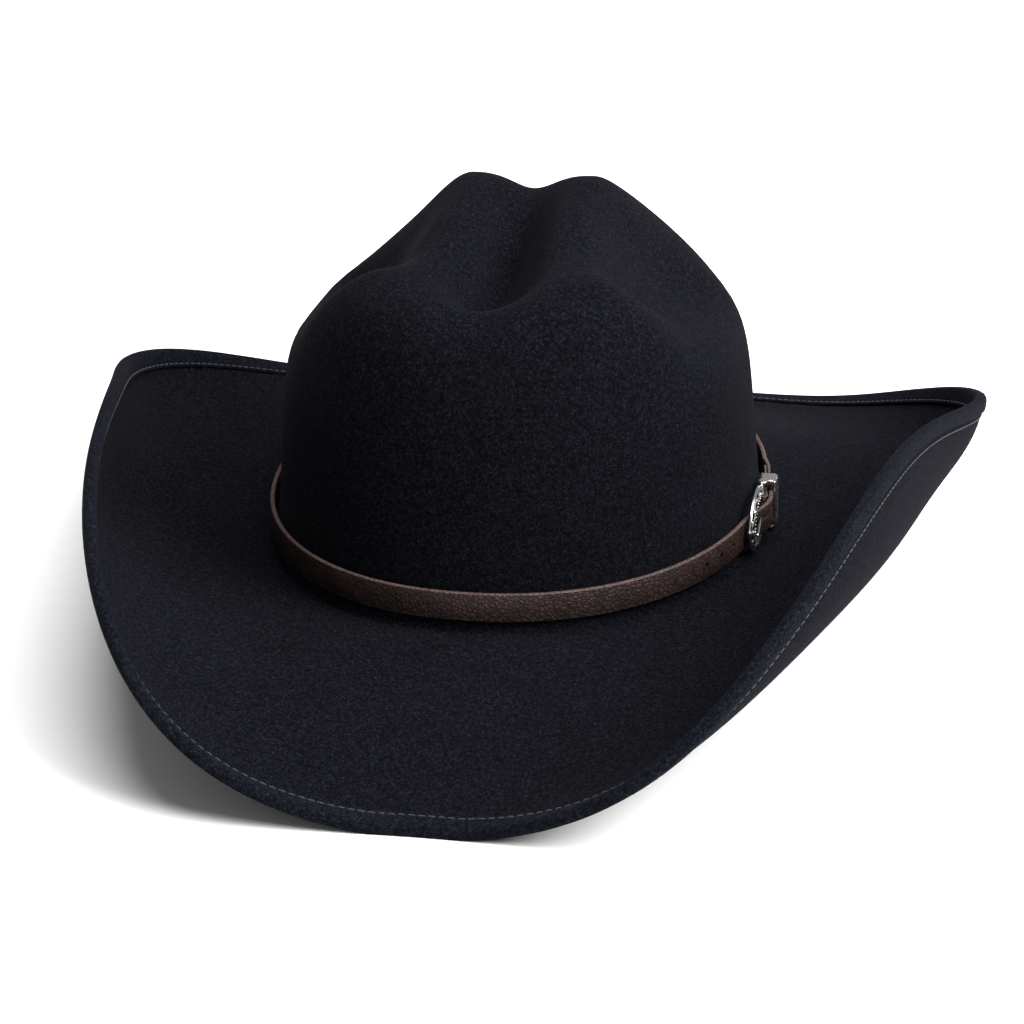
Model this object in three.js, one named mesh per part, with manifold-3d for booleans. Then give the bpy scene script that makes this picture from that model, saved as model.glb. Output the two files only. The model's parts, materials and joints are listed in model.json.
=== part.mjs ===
// Western felt hat: a pressed felt body with a creased crown and a wired, bound, curled brim,
// a leather hatband with a side buckle, and the sweatband, reed, lining and tapes inside.
// Millimetres, +Z up. The hat stands on a table at z = 0 on the front and the back of its brim.
// The front of the hat points along -Y, and +X is the wearer's left, where the buckle is.
// Angles called phi run round the hat from the front (0) past the buckle side (90 degrees).
import * as THREE from "three";
import { mergeVertices } from "three/addons/utils/BufferGeometryUtils.js";
import Module from "manifold-3d";

const wasm = await Module();
wasm.setup();

// ---- Driving dimensions ----

const BAND_Z = 30.5; // height of the hatband line above the table
const BREAK_Z = BAND_Z - 4.7; // middle of the felt where the crown turns into the brim
const FELT = 2.4; // felt thickness
const GAP = 0.3; // air between pieces that touch

// Head oval, measured over the felt at the hatband line.
const OVAL = { x: 86, y: 103, power: 2.15 };

// Crown: ridges, centre groove and side dents, as heights above the hatband line.
const CROWN = { ridge: 116, ridgeX: 22, roofSlope: 0.8, taper: 0.07, shoulderPower: 10 };

// Edge of the brim from the front to the back in equal steps: sideways, lengthwise, lift.
const EDGE = [
  [0, -197, 0.2],
  [59.5, -199.5, 18],
  [101.5, -173, 53],
  [129.5, -91, 77.5],
  [149, 1, 70.5],
  [161, 64, 55.5],
  [137.5, 118, 35.5],
  [85, 170.5, 8.5],
  [0, 194, 0.2],
];
const EDGE_REST = 1.6; // middle of the felt edge where it lies on the table
const EDGE_FLAT = 1.1; // lift that the hat's weight presses flat at the front and the back
const EDGE_LIFT = 86; // lift at which the side curl is fully there

// Curl of the brim: slope and reach of its section at the crown and at the edge.
const CURL = {
  front: { rootSlope: 1.5, edgeSlope: 0, reach: 20 },
  side: { rootSlope: -8, edgeSlope: 121, reach: 45 },
  power: 0.73, // how fast the side curl sets in as the edge rises
  fan: 0.24, // how far the sections lean towards the corners
};

// Bound edge of the brim: depths are measured in from the outermost edge.
const BINDING = { topDepth: 8.5, underDepth: 5, half: 2.3, inside: 1.5, root: 0.9 };
const FELT_EDGE_DEPTH = 4;
const EDGE_THINNING = 0.8; // share of the felt's thickness left inside the binding
const WIRE = { depth: 2.4, radius: 0.6 };
const SLEEVE = { length: 6, outer: 1.3, inner: 1.02 };
const HEM_THREAD = { depth: 7, radius: 0.25 };

// Hatband: arc lengths run round the oval from the front centre towards the buckle.
const STRAP = { width: 10, thick: 1.6, chapeThick: 0.9, low: 1.4, offset: 0.6 };
const BUCKLE = { arc: 131, z: BAND_Z + 7.3, long: 31, tall: 21.4, thick: 2.2 };
const OPENING = { long: 22.4, tall: 16.2 };
const BAR = { ahead: 12, offset: 2.3, radius: 0.8, half: 9.2 };
const KEEPER = { ahead: 18.5, long: 7, half: 9, wall: 0.9, near: 0, far: 6.6 };
const HOLES = [-41, -32, -23]; // spare holes, along the strap from the buckle's middle
const RIVET_AHEAD = 34;

// Inside of the hat.
const SWEATBAND = { inset: 2.8, thick: 1.1, low: 1, tall: 40 };
const REED = { inset: 4.6, z: -0.3, radius: 0.75 };
const LINING = { inset: 2.9, thick: 0.7, drop: 4.2, low: 42 };

// Steps up the crown, from the break (0) past the shoulder (0.5) to the top centre (1).
const CLIMBS = [0, 0.12, 0.24, 0.34, 0.42, 0.48, 0.53, 0.58, 0.64, 0.7, 0.76, 0.82, 0.88, 0.94, 1];
const AROUND = 72; // steps round the brim
const CROWN_AROUND = 56; // steps round the crown and the pieces inside it

// ---- Geometry helpers ----

const clamp01 = (t) => Math.min(Math.max(t, 0), 1);
const mix = (a, b, t) => a + (b - a) * t;
const radians = (degrees) => (degrees * Math.PI) / 180;
const bell = (t) => Math.exp(-t * t);
const rounded = (value, power) => Math.sign(value) * Math.abs(value) ** power;

function smooth(from, to, value) {
  const t = clamp01((value - from) / (to - from));
  return t * t * (3 - 2 * t);
}

// One closed shell with shared vertices and no slivers, ready for a boolean or a mesh.
function welded(geometry) {
  const plain = new THREE.BufferGeometry();
  plain.setAttribute("position", geometry.getAttribute("position"));
  if (geometry.index) plain.setIndex(geometry.index);
  const merged = mergeVertices(plain, 1e-3);
  const kept = [];
  const index = merged.index.array;
  for (let i = 0; i < index.length; i += 3) {
    const [a, b, c] = index.slice(i, i + 3);
    if (a !== b && b !== c && c !== a) kept.push(a, b, c);
  }
  merged.setIndex(kept);
  merged.computeVertexNormals();
  return merged;
}

function solidOf(geometry) {
  const shell = welded(geometry);
  return new wasm.Manifold(
    new wasm.Mesh({
      numProp: 3,
      vertProperties: new Float32Array(shell.attributes.position.array),
      triVerts: new Uint32Array(shell.index.array),
    }),
  );
}

function geometryOf(solid) {
  const mesh = solid.getMesh();
  const geometry = new THREE.BufferGeometry();
  geometry.setAttribute("position", new THREE.BufferAttribute(mesh.vertProperties, 3));
  geometry.setIndex(new THREE.BufferAttribute(mesh.triVerts, 1));
  geometry.computeVertexNormals();
  return geometry;
}

// Moves every vertex of a geometry to place(x, y, z).
function bent(geometry, place) {
  const position = geometry.getAttribute("position");
  for (let i = 0; i < position.count; i++) {
    const p = place(position.getX(i), position.getY(i), position.getZ(i));
    position.setXYZ(i, p.x, p.y, p.z);
  }
  return welded(geometry);
}

// A closed ring: section corner j at angle phi goes to place(phi, section[j]).
// The section runs counter-clockwise when seen with the outside of the hat on the right.
function ring(section, steps, place) {
  const geometry = new THREE.TorusGeometry(2, 1, section.length, steps);
  const uv = geometry.getAttribute("uv");
  const position = geometry.getAttribute("position");
  for (let i = 0; i < position.count; i++) {
    const phi = (Math.round(uv.getX(i) * steps) % steps) * ((2 * Math.PI) / steps);
    const corner = section[Math.round(uv.getY(i) * section.length) % section.length];
    const p = place(phi, corner);
    position.setXYZ(i, p.x, p.y, p.z);
  }
  return welded(geometry);
}

// A closed dome: the profile starts and ends at a pole, outside first.
function dome(profile, steps, place) {
  const dummy = profile.map((_, j) => new THREE.Vector2(1, j));
  const geometry = new THREE.LatheGeometry(dummy, steps);
  const uv = geometry.getAttribute("uv");
  const position = geometry.getAttribute("position");
  for (let i = 0; i < position.count; i++) {
    const phi = -(Math.round(uv.getX(i) * steps) % steps) * ((2 * Math.PI) / steps);
    const corner = profile[Math.round(uv.getY(i) * (profile.length - 1))];
    const p = place(phi, corner);
    position.setXYZ(i, p.x, p.y, p.z);
  }
  return welded(geometry);
}

const spread = (from, to, count) =>
  Array.from({ length: count }, (_, i) => mix(from, to, i / (count - 1)));

const circle = (radius, sides) =>
  Array.from({ length: sides }, (_, i) => {
    const turn = (2 * Math.PI * i) / sides;
    return [radius * Math.cos(turn), radius * Math.sin(turn)];
  });

// ---- Felt body ----

function oval(phi, inset) {
  const power = 2 / OVAL.power;
  return {
    x: (OVAL.x - inset) * rounded(Math.sin(phi), power),
    y: -(OVAL.y - inset) * rounded(Math.cos(phi), power),
  };
}

// Height of the creased top above the hatband line.
function creasedHeight(x, y) {
  const side = Math.abs(x);
  const ridge = CROWN.ridge - 8 * smooth(0, -85, y) - 30 * smooth(20, 100, y);
  const ridgeX = CROWN.ridgeX + 16 * smooth(0, -75, y) + 6 * smooth(40, 90, y);
  const slope = CROWN.roofSlope - 0.4 * smooth(-40, -85, y);
  const roof = ridge - slope * (Math.hypot(Math.max(side - ridgeX, 0), 6) - 6);
  const fading = (1 - 0.76 * smooth(-25, 35, y)) * (1 - smooth(60, 95, y));
  const grooveDepth = 24 * smooth(-84, -52, y) * fading + 4 * smooth(-55, -85, y);
  const groove = grooveDepth * bell(side / (14 - 3 * smooth(-60, -10, y)));
  const dentDepth = x < 0 ? 18 : 12;
  const dentEnds = smooth(-66, -30, y) * (1 - smooth(0, 60, y));
  const dent = dentDepth * bell((side - 49 - 0.12 * (y + 8)) / 19) * dentEnds;
  return roof - groove - dent;
}

// Crown surface: climb goes from 0 at the break, past the shoulder, to 1 at the top centre.
function crownPoint(phi, { climb, inset, drop, base = 0 }) {
  const power = CROWN.shoulderPower;
  const knee = 0.5 ** (1 / power);
  const low = climb < 0.5;
  const near = low ? (1 - (knee * climb * 2) ** power) ** (1 / power) : knee * (1 - climb) * 2;
  const rise = low ? knee * climb * 2 : (1 - near ** power) ** (1 / power);
  const scale = near * (1 - CROWN.taper * rise);
  const at = oval(phi, inset);
  const x = at.x * scale;
  const y = at.y * scale;
  const foot = BREAK_Z - BAND_Z + base;
  return new THREE.Vector3(x, y, BAND_Z + foot + (creasedHeight(x, y) - drop - foot) * rise);
}

// Point of the crown's wall at a height above the break, inset from the outside of the felt.
function wallPoint(phi, height, inset) {
  const at = oval(phi, inset);
  const z = BREAK_Z + height;
  let rise = 0;
  let scale = 1;
  for (let turn = 0; turn < 5; turn++) {
    const tall = creasedHeight(at.x * scale, at.y * scale) + BAND_Z - BREAK_Z;
    rise = clamp01(height / tall);
    scale = (1 - rise ** CROWN.shoulderPower) ** (1 / CROWN.shoulderPower);
    scale *= 1 - CROWN.taper * rise;
  }
  return new THREE.Vector3(at.x * scale, at.y * scale, z);
}

// Smooth curve through the edge stations: a cosine or sine series over the half edge.
function series(axis, odd) {
  const steps = EDGE.length - 1;
  return (phi) => {
    let sum = 0;
    for (let k = odd ? 1 : 0; k <= (odd ? steps - 1 : steps); k++) {
      let weight = 0;
      EDGE.forEach((station, i) => {
        const turn = (k * Math.PI * i) / steps;
        const end = i === 0 || i === steps ? 0.5 : 1;
        weight += station[axis] * (odd ? Math.sin(turn) : end * Math.cos(turn));
      });
      const ends = !odd && (k === 0 || k === steps) ? 1 : 2;
      sum += ((ends * weight) / steps) * (odd ? Math.sin(k * phi) : Math.cos(k * phi));
    }
    return sum;
  };
}
const edgeX = series(0, true);
const edgeY = series(1, false);
const edgeSeries = series(2, false);
const edgeLift = (phi) => Math.max(edgeSeries(phi) - EDGE_FLAT, 0);

// Section of the brim at phi: a Bezier curve from the break to the edge in a vertical plane.
function brimSection(phi) {
  const root = oval(phi - CURL.fan * Math.sin(2 * phi), FELT);
  const lift = edgeLift(phi);
  const curl = clamp01(lift / EDGE_LIFT) ** CURL.power;
  const out = new THREE.Vector2(edgeX(phi) - root.x, edgeY(phi) - root.y);
  const start = radians(mix(CURL.front.rootSlope, CURL.side.rootSlope, curl));
  const end = radians(mix(CURL.front.edgeSlope, CURL.side.edgeSlope, curl));
  const reach = mix(CURL.front.reach, CURL.side.reach, curl);
  const far = [out.length(), EDGE_REST + lift - BREAK_Z];
  const points = [
    [0, 0],
    [reach * Math.cos(start), reach * Math.sin(start)],
    [far[0] - reach * Math.cos(end), far[1] - reach * Math.sin(end)],
    far,
  ];
  return { root, out: out.normalize(), points };
}

function bezier(points, t) {
  const s = 1 - t;
  const w = [s * s * s, 3 * s * s * t, 3 * s * t * t, t * t * t];
  const sum = (axis) => points.reduce((total, p, i) => total + w[i] * p[axis], 0);
  return [sum(0), sum(1)];
}

function brimMiddle(phi, t) {
  const { root, out, points } = brimSection(phi);
  const [reach, up] = bezier(points, t);
  return new THREE.Vector3(root.x + out.x * reach, root.y + out.y * reach, BREAK_Z + up);
}

// Point of the brim: t runs from the break (0) to the edge (1), offset is along the upward normal.
function brimPoint(phi, t, offset) {
  const step = 1e-3;
  const around = brimMiddle(phi + step, t).sub(brimMiddle(phi - step, t));
  const outward = brimMiddle(phi, Math.min(t + step, 1)).sub(brimMiddle(phi, Math.max(t - step, 0)));
  const normal = outward.cross(around).normalize();
  return brimMiddle(phi, t).addScaledVector(normal, offset);
}

// Curve parameter at a depth in from the edge, measured along the felt.
function paramAtDepth(phi, depth) {
  const { points } = brimSection(phi);
  const step = 0.004;
  let t = 1;
  let left = depth;
  let from = bezier(points, t);
  while (left > 0) {
    const to = bezier(points, t - step);
    const length = Math.hypot(to[0] - from[0], to[1] - from[1]);
    t -= step * Math.min(left / length, 1);
    left -= length;
    from = to;
  }
  return t;
}

// The same point given by its depth in from the edge.
const edgePoint = (phi, depth, offset) => brimPoint(phi, paramAtDepth(phi, depth), offset);

// Whatever would reach under the table rests flat on it.
function onTable(point) {
  point.z = Math.max(point.z, 0);
  return point;
}

function feltCrown() {
  const outside = { inset: 0, drop: 0, base: 1.5 };
  const inside = { inset: FELT, drop: FELT + 0.2, base: 1.5 };
  const profile = [
    ...CLIMBS.map((climb) => ({ climb, ...outside })).reverse(),
    ...CLIMBS.map((climb) => ({ climb, ...inside })),
  ];
  return dome(profile, CROWN_AROUND, crownPoint);
}

function feltBrim() {
  const half = FELT / 2;
  const stops = [...spread(0, 1, 7), "edge"];
  const section = [...stops.map((t) => [t, -half]), ...stops.map((t) => [t, half]).reverse()];
  return ring(section, AROUND, (phi, [t, offset]) => {
    if (t === "edge") return edgePoint(phi, FELT_EDGE_DEPTH, offset * EDGE_THINNING);
    return brimPoint(phi, t * paramAtDepth(phi, BINDING.topDepth), offset);
  });
}

function brimBinding() {
  const { topDepth, underDepth, half, inside, root } = BINDING;
  const section = [
    [underDepth, -half],
    [FELT_EDGE_DEPTH, -half],
    [0.7, -half],
    [0, -half * 0.6],
    [0, half * 0.6],
    [0.7, half],
    [topDepth, half],
    [topDepth, inside],
    [FELT_EDGE_DEPTH, inside],
    [root, inside],
    [root, -inside],
    [underDepth, -inside],
  ];
  return ring(section, AROUND, (phi, [depth, offset]) => onTable(edgePoint(phi, depth, offset)));
}

// Spring wire inside the bound edge. Its two ends meet in the sleeve at the back.
function brimWire() {
  const open = 0.6 / EDGE.at(-1)[1];
  const rod = new THREE.CylinderGeometry(WIRE.radius, WIRE.radius, 1, 5, AROUND);
  return bent(rod, (x, y, z) => {
    const phi = y * 2 * (Math.PI - open);
    return edgePoint(phi, WIRE.depth - x, z);
  });
}

function wireSleeve() {
  const half = SLEEVE.length / 2;
  const profile = [
    [SLEEVE.inner, -half],
    [SLEEVE.outer, -half],
    [SLEEVE.outer, half],
    [SLEEVE.inner, half],
    [SLEEVE.inner, -half],
  ].map(([x, y]) => new THREE.Vector2(x, y));
  const tube = welded(new THREE.LatheGeometry(profile, 12));
  tube.rotateZ(Math.PI / 2);
  const at = edgePoint(Math.PI, WIRE.depth, 0);
  tube.translate(at.x, at.y, at.z);
  return tube;
}

function hemThread(offset) {
  const section = circle(HEM_THREAD.radius, 4);
  return ring(section, AROUND, (phi, [across, up]) =>
    edgePoint(phi, HEM_THREAD.depth - across, offset + up),
  );
}

// ---- Hatband ----

// Arc length round the oval against phi, by summing short chords.
const ARC_STEPS = 3600;
const arcAt = [0];
for (let i = 1; i <= ARC_STEPS; i++) {
  const a = oval((2 * Math.PI * (i - 1)) / ARC_STEPS, 0);
  const b = oval((2 * Math.PI * i) / ARC_STEPS, 0);
  arcAt.push(arcAt[i - 1] + Math.hypot(b.x - a.x, b.y - a.y));
}
const GIRTH = arcAt[ARC_STEPS];

// Frame on the oval at an arc length: place, direction along the strap, direction outward.
function bandFrame(arc) {
  const wrapped = ((arc % GIRTH) + GIRTH) % GIRTH;
  let i = 0;
  while (arcAt[i + 1] < wrapped) i++;
  const part = (wrapped - arcAt[i]) / (arcAt[i + 1] - arcAt[i]);
  const phi = (2 * Math.PI * (i + part)) / ARC_STEPS;
  const at = oval(phi, 0);
  const ahead = oval(phi + 0.01, 0);
  const behind = oval(phi - 0.01, 0);
  const along = new THREE.Vector3(ahead.x - behind.x, ahead.y - behind.y, 0).normalize();
  const outward = new THREE.Vector3(along.y, -along.x, 0);
  return { at: new THREE.Vector3(at.x, at.y, 0), along, outward };
}

function bandPoint(arc, offset, z) {
  const { at, outward } = bandFrame(arc);
  return at.clone().addScaledVector(outward, offset).setZ(z);
}

// Middle line of the strap as [arc from the buckle, offset, thickness]. It starts under the
// buckle's bar, folds round it, goes once round the hat and ends on top of its own start.
function strapLine() {
  const { chapeThick, thick, offset } = STRAP;
  const lying = offset + thick / 2;
  const line = [
    [39, 1.2, chapeThick],
    [30, 1.5, chapeThick],
    [15.5, 1.5, chapeThick],
  ];
  const foldRadius = BAR.radius + GAP + chapeThick / 2;
  for (let turn = -80; turn >= -270; turn -= 19) {
    const angle = radians(turn);
    const out = BAR.offset + foldRadius * Math.sin(angle);
    line.push([BAR.ahead + foldRadius * Math.cos(angle), out, chapeThick]);
  }
  line.push([15.5, 3, chapeThick], [20, 2.7, chapeThick], [30, 2.7, chapeThick]);
  line.push([39, 2.5, 1.2], [46, lying, thick]);
  const far = GIRTH - 46;
  spread(46, far, 56)
    .slice(1)
    .forEach((arc) => line.push([arc, lying, thick]));
  line.push([GIRTH - 28, lying, thick], [GIRTH - 14, lying, thick], [GIRTH - 10, 1.5, thick]);
  line.push([GIRTH - 6, 2.2, thick], [GIRTH - 1, 3.5, thick], [GIRTH + 5, 5.1, thick]);
  line.push([GIRTH + 10, 5.6, thick], [GIRTH + 14, 5, thick], [GIRTH + 17, 4.6, thick]);
  line.push([GIRTH + 24, 4.5, thick], [GIRTH + 30, 4.5, thick]);
  return line;
}

function strapBody() {
  const line = strapLine();
  const steps = line.length - 1;
  const box = new THREE.BoxGeometry(1, 1, STRAP.width, steps, 1, 1);
  const middle = BAND_Z + STRAP.low + STRAP.width / 2;
  return bent(box, (x, y, z) => {
    const i = Math.round((x + 0.5) * steps);
    const [arc, offset, thick] = line[i];
    const before = line[Math.max(i - 1, 0)];
    const after = line[Math.min(i + 1, steps)];
    const run = after[0] - before[0];
    const climb = after[1] - before[1];
    const length = Math.hypot(run, climb);
    const side = y * thick;
    const out = offset - (side * run) / length;
    return bandPoint(BUCKLE.arc + arc + (side * climb) / length, out, middle + z);
  });
}

// A round bar lying along the outward direction at a place on the strap.
function crossPlug(ahead, radius, from, to, z) {
  const plug = new THREE.CylinderGeometry(radius, radius, to - from, 12);
  plug.rotateX(Math.PI / 2);
  plug.rotateY(Math.PI / 2);
  const { along } = bandFrame(BUCKLE.arc + ahead);
  plug.rotateZ(Math.atan2(-along.x, along.y));
  const middle = bandPoint(BUCKLE.arc + ahead, (from + to) / 2, z);
  return plug.translate(middle.x, middle.y, middle.z);
}

const strapMiddle = BAND_Z + STRAP.low + STRAP.width / 2;

function hatbandStrap() {
  let solid = solidOf(strapBody());
  HOLES.forEach((ahead) => {
    solid = solid.subtract(solidOf(crossPlug(ahead, 1, -3, 6, strapMiddle)));
  });
  solid = solid.subtract(solidOf(crossPlug(RIVET_AHEAD, 1.1, -3, 8, strapMiddle)));
  // Slots that let the prong through: at the fold round the bar and in the holed end.
  const slot = (from, to, near, far, width) => {
    const box = new THREE.BoxGeometry(to - from, far - near, width);
    box.translate((from + to) / 2, -(near + far) / 2, BUCKLE.z);
    return solidOf(box.applyMatrix4(buckleMatrix()));
  };
  solid = solid.subtract(slot(-4, 3.4, -2.4, 2.35, 3.2));
  solid = solid.subtract(slot(-17.5, 1.8, -3, 5, 2));
  return geometryOf(solid);
}

// The buckle's own frame: origin on the bar, X along the strap, -Y out of the hat, Z up.
function buckleMatrix() {
  const { along } = bandFrame(BUCKLE.arc);
  const origin = bandPoint(BUCKLE.arc + BAR.ahead, BAR.offset, 0);
  return new THREE.Matrix4()
    .makeRotationZ(Math.atan2(along.y, along.x))
    .setPosition(origin);
}

const FRAME_TILT = radians(5); // the free end of the frame stands out over the strap

function ellipsePath(Kind, long, tall) {
  const path = new Kind();
  path.absellipse(-BAR.ahead, 0, long / 2, tall / 2, 0, 2 * Math.PI, false, 0);
  return path;
}

function uprightCylinder(radius, from, to, sides) {
  const rod = new THREE.CylinderGeometry(radius, radius, to - from, sides);
  rod.rotateX(Math.PI / 2);
  return rod.translate(0, 0, (from + to) / 2);
}

function buckleRing() {
  const outline = ellipsePath(THREE.Shape, BUCKLE.long, BUCKLE.tall);
  outline.holes.push(ellipsePath(THREE.Path, OPENING.long, OPENING.tall));
  const plate = new THREE.ExtrudeGeometry(outline, {
    depth: BUCKLE.thick,
    bevelEnabled: false,
    curveSegments: 24,
  });
  plate.translate(0, 0, -BUCKLE.thick / 2).rotateX(Math.PI / 2).rotateZ(FRAME_TILT);
  let solid = solidOf(plate);
  const lug = { radius: 2, from: 6.9, to: 9.6 };
  [1, -1].forEach((side) => {
    const [low, high] = [side * lug.from, side * lug.to].sort((a, b) => a - b);
    solid = solid.add(solidOf(uprightCylinder(lug.radius, low, high, 16)));
  });
  solid = solid.subtract(solidOf(new THREE.BoxGeometry(18, 12, 2 * lug.from)));
  solid = solid.subtract(solidOf(uprightCylinder(BAR.radius + GAP, -12, 12, 12)));
  return geometryOf(solid);
}

const buckleBar = () => uprightCylinder(BAR.radius, -BAR.half, BAR.half, 12);

function buckleProng() {
  const inner = BAR.radius + GAP;
  const profile = [
    [inner, -1.2],
    [1.9, -1.2],
    [1.9, 1.2],
    [inner, 1.2],
    [inner, -1.2],
  ].map(([x, y]) => new THREE.Vector2(x, y));
  const loop = welded(new THREE.LatheGeometry(profile, 16)).rotateX(Math.PI / 2);
  const root = new THREE.Vector3(-1.5, -0.3, 0);
  const tip = new THREE.Vector3(-26.5, -4.3, 0);
  const length = root.distanceTo(tip);
  const pin = new THREE.CylinderGeometry(0.55, 0.7, length, 8);
  const turn = new THREE.Quaternion().setFromUnitVectors(
    new THREE.Vector3(0, 1, 0),
    tip.clone().sub(root).normalize(),
  );
  pin.applyQuaternion(turn);
  pin.translate((root.x + tip.x) / 2, (root.y + tip.y) / 2, 0);
  return geometryOf(solidOf(loop).add(solidOf(pin)));
}

// Flat loop that holds the strap's free end down.
function keeperLoop() {
  const { long, half, wall, near, far } = KEEPER;
  const outline = new THREE.Shape();
  outline.moveTo(-half, near).lineTo(half, near).lineTo(half, far).lineTo(-half, far).closePath();
  const inside = new THREE.Path();
  const [left, right] = [wall - half, half - wall];
  inside.moveTo(left, near + 0.7).lineTo(left, far - wall);
  inside.lineTo(right, far - wall).lineTo(right, near + 0.7).closePath();
  outline.holes.push(inside);
  const loop = new THREE.ExtrudeGeometry(outline, { depth: long, bevelEnabled: false });
  const { at, along, outward } = bandFrame(BUCKLE.arc + KEEPER.ahead);
  const up = new THREE.Vector3(0, 0, 1);
  const turned = new THREE.Matrix4().makeBasis(up, outward, along);
  const start = at.addScaledVector(along, -long / 2).setZ(strapMiddle);
  return loop.applyMatrix4(turned.setPosition(start));
}

function chapeRivet() {
  const shank = solidOf(crossPlug(RIVET_AHEAD, 0.8, 0.5, 3.6, strapMiddle));
  const back = solidOf(crossPlug(RIVET_AHEAD, 1.9, -0.1, 0.55, strapMiddle));
  const head = solidOf(crossPlug(RIVET_AHEAD, 1.9, 3.5, 4.2, strapMiddle));
  return geometryOf(shank.add(back).add(head));
}

// ---- Inside of the hat ----

function sweatbandStrip() {
  const { inset, thick, low, tall } = SWEATBAND;
  const seam = 0.3 / OVAL.x;
  const strip = new THREE.BoxGeometry(1, 1, 1, CROWN_AROUND, 1, 4);
  return bent(strip, (x, y, z) => {
    const phi = x * 2 * (Math.PI - seam);
    return wallPoint(phi, low + (z + 0.5) * tall, inset + (y + 0.5) * thick);
  });
}

// A small patch bent to the wall, lying on the sweatband at the back.
function backPatch({ wide, low, high, inset, thick }) {
  const patch = new THREE.BoxGeometry(1, 1, 1, 4, 1, 2);
  return bent(patch, (x, y, z) => {
    const phi = Math.PI + (x * wide) / (0.9 * OVAL.x);
    return wallPoint(phi, mix(low, high, z + 0.5), inset + (y + 0.5) * thick);
  });
}

function reedRod() {
  const seam = 0.5 / OVAL.x;
  const rod = new THREE.CylinderGeometry(REED.radius, REED.radius, 1, 6, CROWN_AROUND);
  return bent(rod, (x, y, z) => {
    const phi = y * 2 * (Math.PI - seam);
    const at = oval(phi, REED.inset - x);
    return new THREE.Vector3(at.x, at.y, BREAK_Z + REED.z + z);
  });
}

// Folded tape that wraps the reed from below.
function reedTape() {
  const section = [
    [-1.45, 0.9],
    [-1.45, -0.9],
    [-0.7, -1.45],
    [0.7, -1.45],
    [1.45, -0.9],
    [1.45, 0.9],
    [1.05, 0.9],
    [1.05, -0.6],
    [0.5, -1.05],
    [-0.5, -1.05],
    [-1.05, -0.6],
    [-1.05, 0.9],
  ];
  return ring(section, CROWN_AROUND, (phi, [across, up]) => {
    const at = oval(phi, REED.inset - across);
    return new THREE.Vector3(at.x, at.y, BREAK_Z + REED.z + up);
  });
}

// Thread that sews the sweatband to the felt, lying under the break.
function sweatbandThread() {
  const under = FELT / 2 + GAP + 0.4;
  return ring(circle(0.25, 4), CROWN_AROUND, (phi, [across, up]) => {
    const at = oval(phi, 1.2 - across);
    return new THREE.Vector3(at.x, at.y, BREAK_Z - under + up);
  });
}

// Flat ribbon bow: two loops and two tails round a knot, in one outline.
function sweatbandBow() {
  const outline = new THREE.Shape();
  outline.moveTo(0, 1.6);
  outline.bezierCurveTo(4, 4.5, 10, 5, 10.5, 1.5);
  outline.bezierCurveTo(10.5, -2, 5, -1.8, 2.4, -1);
  outline.lineTo(8, -7).lineTo(5.4, -7.6).lineTo(0, -1.6);
  outline.lineTo(-5.4, -7.6).lineTo(-8, -7).lineTo(-2.4, -1);
  outline.bezierCurveTo(-5, -1.8, -10.5, -2, -10.5, 1.5);
  outline.bezierCurveTo(-10, 5, -4, 4.5, 0, 1.6);
  const bow = new THREE.ExtrudeGeometry(outline, { depth: 1.2, bevelEnabled: false, curveSegments: 5 });
  const inset = SWEATBAND.inset + SWEATBAND.thick + 0.9 + GAP;
  return bent(bow, (x, y, z) => {
    const phi = Math.PI - x / (0.9 * OVAL.x);
    return wallPoint(phi, 11 + y, inset + z);
  });
}

function liningSide() {
  const { inset, thick, drop, low } = LINING;
  const climbs = CLIMBS.filter((climb) => climb > 0.4 && climb < 0.6);
  const outside = climbs.map((climb) => ({ climb, inset, drop }));
  const inside = climbs.map((climb) => ({ climb, inset: inset + thick, drop: drop + thick + 0.3 }));
  outside.unshift({ height: low, inset });
  inside.unshift({ height: low, inset: inset + thick });
  return ring([...outside, ...inside.reverse()], CROWN_AROUND, (phi, corner) =>
    corner.height ? wallPoint(phi, corner.height, corner.inset) : crownPoint(phi, corner),
  );
}

// A sheet under the top of the crown, from its middle out to a climb value.
function topSheet(edgeClimb, inset, drop, thick) {
  const climbs = CLIMBS.filter((climb) => climb >= edgeClimb).reverse();
  const outside = climbs.map((climb) => ({ climb, inset, drop }));
  const inside = climbs.map((climb) => ({ climb, inset, drop: drop + thick })).reverse();
  return dome([...outside, ...inside], CROWN_AROUND, crownPoint);
}

// ---- Materials and assembly ----

const finish = (color, roughness, metalness = 0) =>
  new THREE.MeshStandardMaterial({ color, roughness, metalness });

const FELT_BLACK = () => finish(0x1c1c22, 0.95);
const hat = new THREE.Group();

function add(name, geometry, material, parent = hat) {
  const mesh = new THREE.Mesh(geometry, material);
  mesh.name = name;
  parent.add(mesh);
  return mesh;
}

add("felt_crown", feltCrown(), FELT_BLACK());
add("felt_brim", feltBrim(), FELT_BLACK());
add("brim_binding", brimBinding(), FELT_BLACK());
add("brim_wire", brimWire(), finish(0x8a8d90, 0.4, 1));
add("brim_wire_sleeve", wireSleeve(), finish(0xa08a50, 0.4, 1));
const threadOut = HEM_THREAD.radius + GAP;
add("brim_needle_thread", hemThread(BINDING.half + threadOut + 0.3), finish(0x15151a, 0.8));
add("brim_bobbin_thread", hemThread(-FELT / 2 - threadOut), finish(0x15151a, 0.8));

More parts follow.
